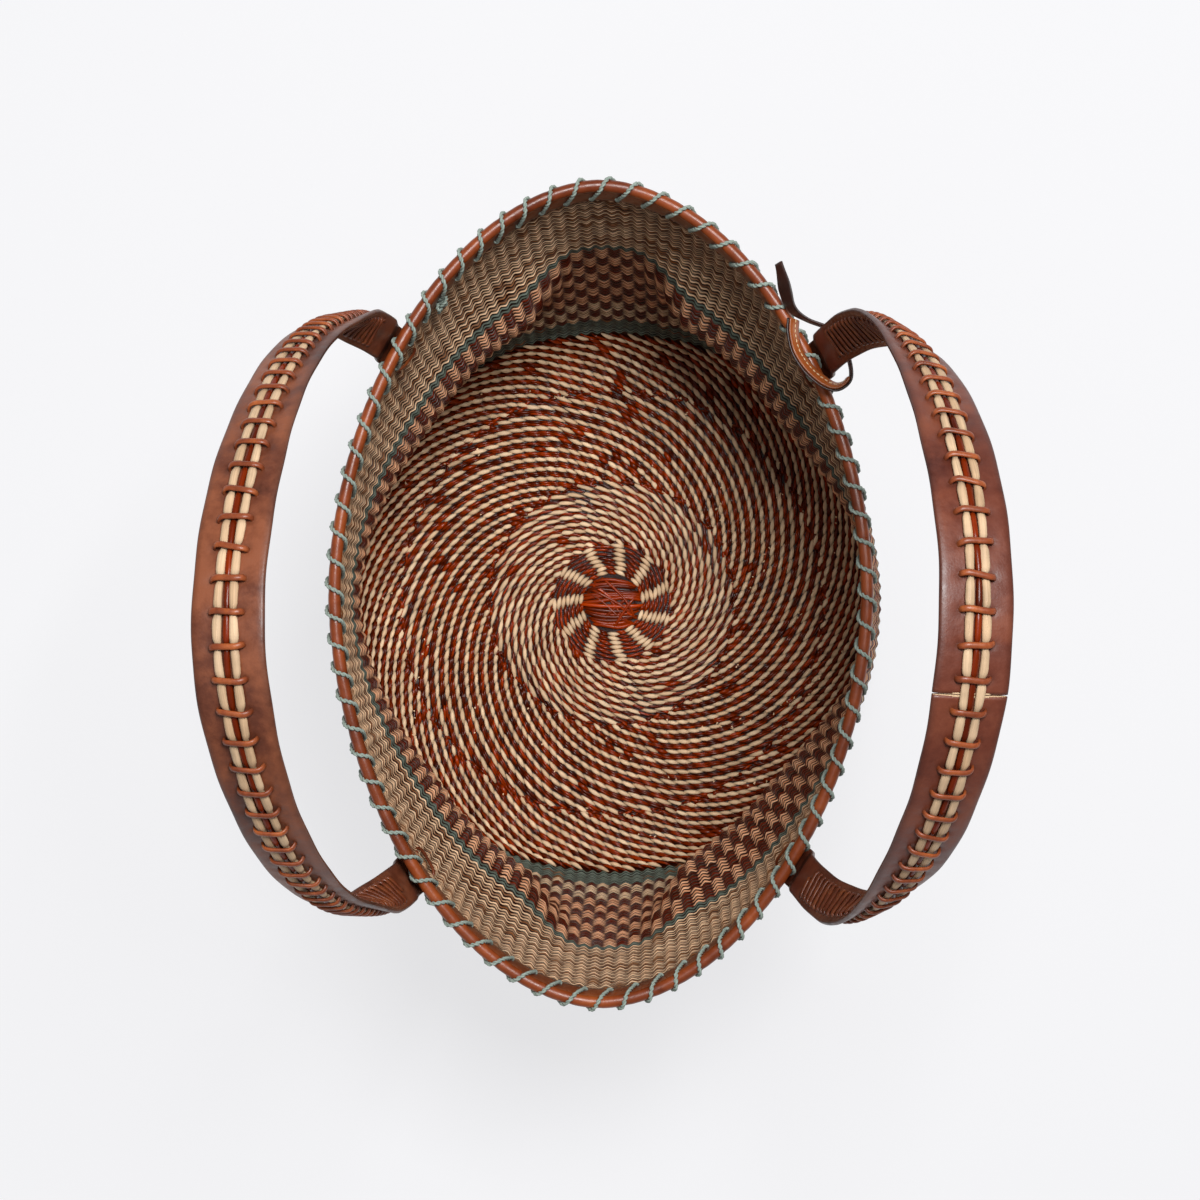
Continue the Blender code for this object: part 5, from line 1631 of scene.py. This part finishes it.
    def strap_tube(self, first: float, last: float) -> Tube:
        """A stretch of strap.

        The section is a rounded slab with its edges turned down a little. Pits of a bell shape
        lie at the lace holes, and the edges wave slowly.

        Args:
            first: Where it begins, as a distance from the first hinge.
            last: Where it ends.

        Returns:
            The tube.
        """
        run = np.linspace(first, last, max(int((last - first) / (1.6 * MM)), 8))
        centre, across, front = self.frames(run)
        half = self.half_width(run) * (1 + 0.012 * np.sin(run / 0.017) + 0.010 * np.sin(run / 0.0061 + 1))
        side = (0.2, 0.4, 0.5, 0.62, 0.8, 0.93, 0.985, 1.0)
        lateral = np.array([*(-place for place in reversed(side)), 0, *side])
        edge = np.array([0.25, 0.6, 0.88, *[1] * 11, 0.88, 0.6, 0.25])
        width = half[:, None] * lateral[None]
        rise = self.thickness / 2 * edge[None] * (1 - 0.12 * lateral[None] ** 2) * np.ones_like(width)
        nearest = np.abs(run[:, None] - self.stitches()[None]).min(axis=1)[:, None]
        from_hole = (np.abs(width) - self.hole_offset) / self.pit_width
        pit = np.exp(-((nearest / self.pit_length) ** 2) - from_hole**2)
        press = np.exp(-((nearest / (2.6 * MM)) ** 2)) * (np.abs(width) < self.hole_offset)
        front_face = np.stack([width, rise - self.pit_depth * pit - 0.15 * MM * press], axis=-1)
        back_face = np.stack([width, -rise + self.pit_depth * pit], axis=-1)[:, ::-1]
        section = np.concatenate([front_face, back_face], axis=1)
        # Cut edges dyed darker; the pits at the lace holes painted darker as shade.
        dark = 1 - 0.42 * smooth(0.86, 1.0, np.abs(lateral))[None] * np.ones_like(width) - 0.4 * pit
        shade = np.concatenate([dark, dark[:, ::-1]], axis=1)[..., None].repeat(4, axis=-1)
        return carry(centre, across, front, section, colour=shade)

    def build_strap(self) -> None:
        """The whole strap, or two straps butted at the seam with raw pale edges."""
        ends = (-self.tab_length, self.length + self.tab_length)
        name = f"{self.name}_handle"
        replaced = [*self.cad_straps]
        replaced += [f"{name}_{place}_{piece}" for place in ("back", "front") for piece in ("bend", "tab")]
        if self.seam_from_middle is None:
            tubes = [self.strap_tube(*ends)]
        else:
            seam = self.seam()
            tubes = [self.strap_tube(ends[0], seam - 0.5 * MM), self.strap_tube(seam + 0.5 * MM, ends[1])]
        strap = add_piece(f"{name}_leather", tubes, self.finish, body=None, replaced=replaced)
        self.ride(strap)
        if self.seam_from_middle is not None:
            edges = []
            for start in (-0.9, 0.35):
                run = seam + np.linspace(start, start + 0.55, 4) * MM
                centre, across, front = self.frames(np.concatenate([run - 0.01, run, run + 0.01]))
                centre, across, front = centre[4:8], across[4:8], front[4:8]
                half = self.half_width(run) * 1.004
                edges.append(carry(centre, across, front, oval(24, half, self.thickness / 2 * 1.12)))
            add_piece(f"{name}_seam_edges", edges, Finish.RAW_EDGE, body=f"{self.name}_handle")

    def seam(self) -> float:
        """Where two straps are butted, midway between two stitches."""
        stitches = self.stitches()
        after = int(np.searchsorted(stitches, self.length / 2 + (self.seam_from_middle or 0)))
        return float(stitches[after - 1] + stitches[after]) / 2

    def build_cords(self) -> None:
        """Two cream cords with a rust one between, pinched under every stitch by a bell curve,
        exp(−(d/2 mm)²) of the distance d from it, painted darker there as shade by the same curve,
        and swelling between."""
        stitches = self.stitches()
        start, end = self.free_end - 5 * MM, self.length - self.free_end + 5 * MM
        run = np.unique(np.concatenate([np.arange(start, end, 1.3 * MM), stitches, [end]]))
        centre, across, front = self.frames(run)
        distance = np.abs(run[:, None] - stitches[None])
        nearest = distance.min(axis=1)
        pinch = np.exp(-((nearest / (2.0 * MM)) ** 2))
        cap = smooth(0, 3 * MM, np.minimum(run - start, end - run)) * 0.7 + 0.3
        base = self.thickness / 2
        body = f"{self.name}_handle"
        cords = (
            ("cream_cord_outer", 1, self.cream_half_width, self.cream_half_height, Straw.CREAM, "cream_straw"),
            ("rust_cord", 0, self.rust_half_width, self.rust_half_height, Straw.RUST, "rust_straw"),
            ("cream_cord_inner", -1, self.cream_half_width, self.cream_half_height, Straw.CREAM, "cream_straw"),
        )
        for cord, side, half_width, half_height, straw, slot in cords:
            swell = 1.04 - 0.34 * pinch + 0.08 * np.sin(run / (4.1 * MM) + side)
            offset = side * self.cord_pitch * (1.04 - 0.14 * pinch) + 0.35 * MM * np.sin(run / (13 * MM) + 2 * side)
            lift = base + half_height * (0.98 - 0.28 * pinch)
            path = centre + offset[:, None] * across + lift[:, None] * front
            section = oval(10, half_width * swell * cap, half_height * (1 - 0.12 * pinch) * cap)
            stitch = np.searchsorted(stitches, run)
            tone = self.rng.uniform(0.2, 0.8, len(stitches) + 1)[stitch]
            # Painted shade under each stitch of the lace.
            bright = 0.74 - 0.36 * pinch
            colour = straw_colours(np.full(len(run), straw_index(straw)), tone, bright)
            tube, name = carry(path, across, front, section, colour=colour), f"{body}_{cord}"
            add_piece(f"{name}_straw", [tube], Finish.HANDLE_STRAW, body=body, replaced=[name])

    def lace_section(self) -> Array:
        """The lace's flat oval section."""
        return oval(8, self.lace_half_thickness, self.lace_half_width)

    def build_lace(self) -> None:
        """One long lace: over the cords at each stitch and slantwise across the back to the next.

        A key is a lean along the strap, a place across it in hole offsets, a height over its
        middle, and the part of the way on to the next stitch.
        """
        stitches = self.stitches()
        top = self.thickness / 2 + 2 * self.cream_half_height * 0.80 + self.lace_half_thickness
        back = self.thickness / 2 + 0.35 * self.lace_half_thickness
        hole = self.hole_offset
        half = (
            (-0.05, 0.60, 1.00 * top, 0), (-0.02, 0.93, 0.72 * top, 0), (0.0, 1.04, 0.4 * back, 0), (0.0, 1.0, -back, 0)
        )
        behind = -back - 0.35 * self.lace_half_thickness
        keys = [(-lean, -across, lift, onward) for lean, across, lift, onward in reversed(half)]
        keys += [(0.0, 0.0, 1.04 * top, 0), *half, (0.0, 0.55, behind, 0.3), (0.0, -0.35, behind, 0.7)]
        gaps = np.diff(stitches, append=stitches[-1:] + 6 * MM)
        tilt = self.rng.normal(0, 0.5 * MM, len(stitches))
        places = [
            (run + onward * gap + lean * 8 * MM + across * slope, across * hole, lift)
            for run, gap, slope in zip(stitches, gaps, tilt)
            for lean, across, lift, onward in keys
        ]
        line = catmull(np.array(places), 3)
        table = np.linspace(0, self.length, 1500)
        centre, across, front = (read_off(line[:, 0], table, source) for source in self.frames(table))
        across, front = unit(across), unit(front)
        path = centre + line[:, 1:2] * across + line[:, 2:3] * front
        way = along_path(path)
        strap_way = np.cross(front, across)
        side = square_to(way, strap_way)
        over = np.cross(way, side)
        # Painted light: the lace darker as shade where it lies low against the strap and behind it, up to 1.12 where it
        # stands high over the cords.
        high = smooth(0.2, 0.9, line[:, 2] / top)
        shade = (0.62 + 0.5 * high)[:, None].repeat(4, axis=1)
        tube = carry(path, over, side, self.lace_section(), colour=shade)
        body = f"{self.name}_handle"
        add_piece(f"{body}_lacing", [tube], Finish.LACE, body=body, replaced=[f"{body}_lace"])

    def build_tab_laces(self) -> None:
        """The lace that holds each strap end through the wall, as two bars outside and crossings
        inside."""
        for place, share in (("back", self.first_share), ("front", self.last_share)):
            inside = -(self.shell.shape.wall_thickness / 2 + 0.9 * self.lace_half_thickness)
            outside = self.shell.shape.wall_thickness / 2 + self.thickness + 1.2 * self.lace_half_thickness
            keys = []
            for number, depth in enumerate(self.tab_stitch_depths):
                half = ((0.92, outside, depth), (1.0, 0.5 * outside, depth), (1.0, inside, depth))
                keys += [(-across, out, down) for across, out, down in reversed(half)]
                keys += [(0.0, 1.06 * outside, depth), *half]
                if number + 1 < len(self.tab_stitch_depths):
                    keys.append((0.0, 1.35 * inside, (depth + self.tab_stitch_depths[number + 1]) / 2))
            line = catmull(np.array(keys), 4)
            point, outward, along, up = self.shell.below(share, line[:, 2])
            path = point + line[:, :1] * self.hole_offset * along + line[:, 1:2] * outward
            way = along_path(path)
            side = square_to(way, up)
            over = np.cross(way, side)
            shade = np.full((len(path), 4), 0.72)
            tube = carry(path, over, side, self.lace_section(), colour=shade)
            name = f"{self.name}_handle_{place}_tab_lace"
            add_piece(f"{name}_bars", [tube], Finish.LACE, replaced=[name])


# ---------------------------------------------------------------- the stitched loop


@dataclass
class StitchedLoop:
    """The leather loop that lies on the rim round the right strap: a dark lining all the way,
    a tan face sewn on its inner side, and a free tail outside."""

    handle: StrapHandle
    width: float = 11.0 * MM
    layer: float = 1.35 * MM
    over_rim: float = 10.5 * MM
    stitch_step: float = 2.6 * MM

    route_shares: tuple[tuple[float, float], ...] = (
        (-2.20, 1.50),
        (-1.62, 0.78),
        (-1.20, 0.50),
        (-0.80, 0.95),
        (-0.28, 2.06),
        (0.30, 2.10),
        (0.76, 1.68),
        (0.86, 0.82),
        (0.68, 0.12),
        (0.22, -0.50),
        (-0.28, -0.68),
        (-0.72, -0.36),
        (-1.00, 0.12),
    )

    def build(self) -> None:
        """Both layers and the stitching."""
        handle, shell = self.handle, self.handle.shell
        steps = 10
        route = catmull(np.array(self.route_shares), steps)
        turn = np.arange(len(route)) / steps
        share = handle.first_share - route[:, 0] * handle.end_width / shell.rim_length
        centre, outward, _, _ = shell.rim(share)
        middle = centre + (route[:, 1] * handle.standoff)[:, None] * outward
        middle[:, 2] += self.over_rim
        way = along_path(middle)
        flat = unit(np.cross(way, [0, 0, 1.0]))
        lean = (np.radians(28) * smooth(5.5, 8.5, turn) + np.radians(30) * smooth(3.2, 0.8, turn))[:, None]
        high = np.array([0, 0, 1.0]) * np.cos(lean) - flat * np.sin(lean)
        high = square_to(way, high)
        face = np.cross(way, high)

        def band(first: int, offset: float, tip: Array) -> Tube:
            """A flat band along the route.

            Args:
                first: Its first station.
                offset: How far it lies out from the route.
                tip: A factor on its width at each station.

            Returns:
                The tube.
            """
            rows = slice(first, None)
            lateral = np.array([-1, -0.92, -0.5, 0, 0.5, 0.92, 1])
            edge = np.array([0.35, 0.9, 1, 1, 1, 0.9, 0.35])
            width = self.width / 2 * tip[:, None] * lateral[None]
            rise = self.layer / 2 * edge[None] * np.ones_like(width)
            section = np.concatenate([np.stack([width, rise], -1), np.stack([width, -rise], -1)[:, ::-1]], axis=1)
            dark = 1 - 0.5 * smooth(0.85, 1, np.abs(lateral))
            shade = np.broadcast_to(np.concatenate([dark, dark[::-1]])[None, :, None], section.shape[:2] + (4,))
            return carry(middle[rows] + face[rows] * offset, high[rows], face[rows], section, colour=shade)

        lining = [band(0, 0, 0.55 + 0.45 * smooth(0, 0.9, turn))]
        add_piece("loop_dark_lining", lining, Finish.DARK_LEATHER, replaced=["loop_lining"])
        first = 6 * steps
        offset = self.layer + 0.1 * MM
        front = [band(first, offset, np.ones(len(turn) - first))]
        add_piece("loop_tan_face", front, Finish.TAN_LEATHER, replaced=["loop_face"])
        self.build_stitching(middle + face * (offset + self.layer / 2), way, high, face, first)

    def build_stitching(self, line: Array, way: Array, high: Array, face: Array, first: int) -> None:
        """Cream stitches along the middle of the face: short spindles with a gap after each.

        Args:
            line: The face's surface line.
            way: The way along it; not used.
            high: The way across the band.
            face: The way out of it.
            first: The station where the tan face begins.
        """
        run = np.concatenate([[0], np.cumsum(np.linalg.norm(np.diff(line, axis=0), axis=1))])
        starts = np.arange(run[first] + 1.2 * MM, run[-1] - 1.5 * MM, self.stitch_step)
        tubes = []
        for start in starts:
            place = start + np.linspace(0, 0.72 * self.stitch_step, 5)
            path, side, out = (read_off(place, run, values) for values in (line, high, face))
            size = np.array([0.5, 0.9, 1, 0.9, 0.5]) * 0.42 * MM
            tubes.append(carry(path, unit(side), unit(out), oval(6, size, size * 0.8)))
        add_piece("loop_stitching", tubes, Finish.THREAD)


# ---------------------------------------------------------------- studio


@dataclass(frozen=True)
class Studio:
    """The pale floor, the soft lamps and the camera straight above the basket."""

    camera_height: float = 1.6
    camera_x: float = -0.0074
    camera_y: float = 0.00185
    focal_pixels: float = 2596.0
    image_pixels: float = 1200.0
    sensor: float = 36.0
    floor_half: float = 4.0
    floor_own_light: float = 0.78
    world_strength: float = 0.23

    def build(self) -> None:
        """Floor, world, lamps and camera."""
        self.build_floor()
        self.build_world()
        self.add_lamp("key lamp", (0.27, 0.60, 2.15), 0.7, 46.0)
        self.add_lamp("fill lamp", (-0.9, -0.6, 2.2), 1.6, 3.0)
        self.add_camera()

    def build_floor(self) -> None:
        """A flat pale sheet. To the camera, and in mirrors and glass, it is mixed with its own
        plain colour, which keeps it pale while the object's shadow still shows."""
        size = self.floor_half
        mesh = bpy.data.meshes.new("floor")
        mesh.from_pydata([(-size, -size, 0), (size, -size, 0), (size, size, 0), (-size, size, 0)], [], [(0, 1, 2, 3)])
        material, tree, shader = new_material("matt studio paper")
        place = add_node(tree, "ShaderNodeTexCoord").outputs["Object"]
        noise = add_node(tree, "ShaderNodeTexNoise", {"Vector": place, "Scale": 3.0, "Detail": 2.0})
        colour = add_ramp(tree, noise.outputs["Fac"], ((0.0, "#F2F2F4"), (1.0, "#F4F4F6")))
        tree.links.new(colour, shader.inputs["Base Color"])
        shader.inputs["Roughness"].default_value = 0.95
        shader.inputs["Specular IOR Level"].default_value = 0.1
        ray = add_node(tree, "ShaderNodeLightPath").outputs
        seen = ray["Is Camera Ray"]
        for other in ("Is Glossy Ray", "Is Transmission Ray"):
            seen = add_node(tree, "ShaderNodeMath", {0: seen, 1: ray[other]}, operation="MAXIMUM").outputs["Value"]
        share = {0: seen, 1: self.floor_own_light}
        amount = add_node(tree, "ShaderNodeMath", share, operation="MULTIPLY").outputs["Value"]
        glow = add_node(tree, "ShaderNodeEmission", {"Color": linear("#F5F5F7"), "Strength": 1.0}).outputs["Emission"]
        mixed = add_node(tree, "ShaderNodeMixShader", {0: amount, 1: shader.outputs["BSDF"], 2: glow})
        tree.links.new(mixed.outputs["Shader"], tree.nodes["Material Output"].inputs["Surface"])
        mesh.materials.append(material)
        floor = bpy.data.objects.new("floor", mesh)
        bpy.context.scene.collection.objects.link(floor)

    def build_world(self) -> None:
        """Even pale light from all round, which the camera sees as the white of the backdrop."""
        world = bpy.data.worlds.new("studio")
        world.use_nodes = True
        tree = world.node_tree
        background = tree.nodes["Background"]
        background.inputs["Color"].default_value = linear("#FBFBFF")
        background.inputs["Strength"].default_value = self.world_strength
        backdrop = add_node(tree, "ShaderNodeBackground", {"Color": linear("#F6F6F8"), "Strength": 1.0})
        seen = add_node(tree, "ShaderNodeLightPath").outputs["Is Camera Ray"]
        pair = {0: seen, 1: background.outputs["Background"], 2: backdrop.outputs["Background"]}
        mixed = add_node(tree, "ShaderNodeMixShader", pair)
        tree.links.new(mixed.outputs["Shader"], tree.nodes["World Output"].inputs["Surface"])
        bpy.context.scene.world = world

    def add_lamp(self, name: str, place: tuple[float, float, float], size: float, power: float) -> None:
        """A square soft lamp that faces the middle of the basket.

        Args:
            name: The lamp's name.
            place: Where it hangs.
            size: Its side.
            power: Its power in watts.
        """
        data = bpy.data.lights.new(name, "AREA")
        data.shape, data.size, data.energy = "SQUARE", size, power
        lamp = bpy.data.objects.new(name, data)
        bpy.context.scene.collection.objects.link(lamp)
        lamp.location = place
        aim = np.array([0, 0, 0.15]) - np.array(place)
        x, y, z = aim
        lamp.rotation_euler = (math.atan2(math.hypot(x, y), -z), 0, math.atan2(-x, y))

    def add_camera(self) -> None:
        """A camera that looks straight down, with +Y up in the picture."""
        data = bpy.data.cameras.new("camera")
        data.sensor_width = data.sensor_height = self.sensor
        data.lens = self.focal_pixels / self.image_pixels * self.sensor
        camera = bpy.data.objects.new("camera", data)
        bpy.context.scene.collection.objects.link(camera)
        camera.location = (self.camera_x, self.camera_y, self.camera_height)
        bpy.context.scene.camera = camera
        bpy.context.scene.view_settings.view_transform = "Standard"


def dress_hidden_core(nodes: dict[str, bpy.types.Object]) -> None:
    """Gives the straw core inside the rim's leather its own straw finish.

    Args:
        nodes: The solids by name.
    """
    core = nodes["rim_core"]
    core.data.materials.clear()
    core.data.materials.append(Finish.CORE.material())


def main() -> None:
    """Builds the basket round its solids."""
    logging.basicConfig(level=logging.INFO, format="%(name)s: %(message)s")
    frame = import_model()
    shell = Shell(BasketShape())
    Studio().build()
    Weave(shell).build()
    BoundRim(shell).build()
    left = StrapHandle(
        shell, "left", 0.3778, 0.6398, 0.246, 0.0085, 0.100, math.radians(12.3), 1.84, 2.34, 0.053,
        Finish.LEFT_STRAP, "left_strap_leather", ("left_handle_strap",),
    )
    right = StrapHandle(
        shell, "right", 0.1143, 0.8648, 0.2505, 0.0010, 0.230, math.radians(11.2), 2.10, 2.34, 0.098,
        Finish.RIGHT_STRAP, "right_strap_leather", ("right_handle_strap_long", "right_handle_strap_short"),
        seam_from_middle=0.031, seed=8,
    )
    for handle in (left, right):
        handle.build()
    StitchedLoop(right).build()
    dress_hidden_core(frame["nodes"])


if __name__ == "__main__":
    main()
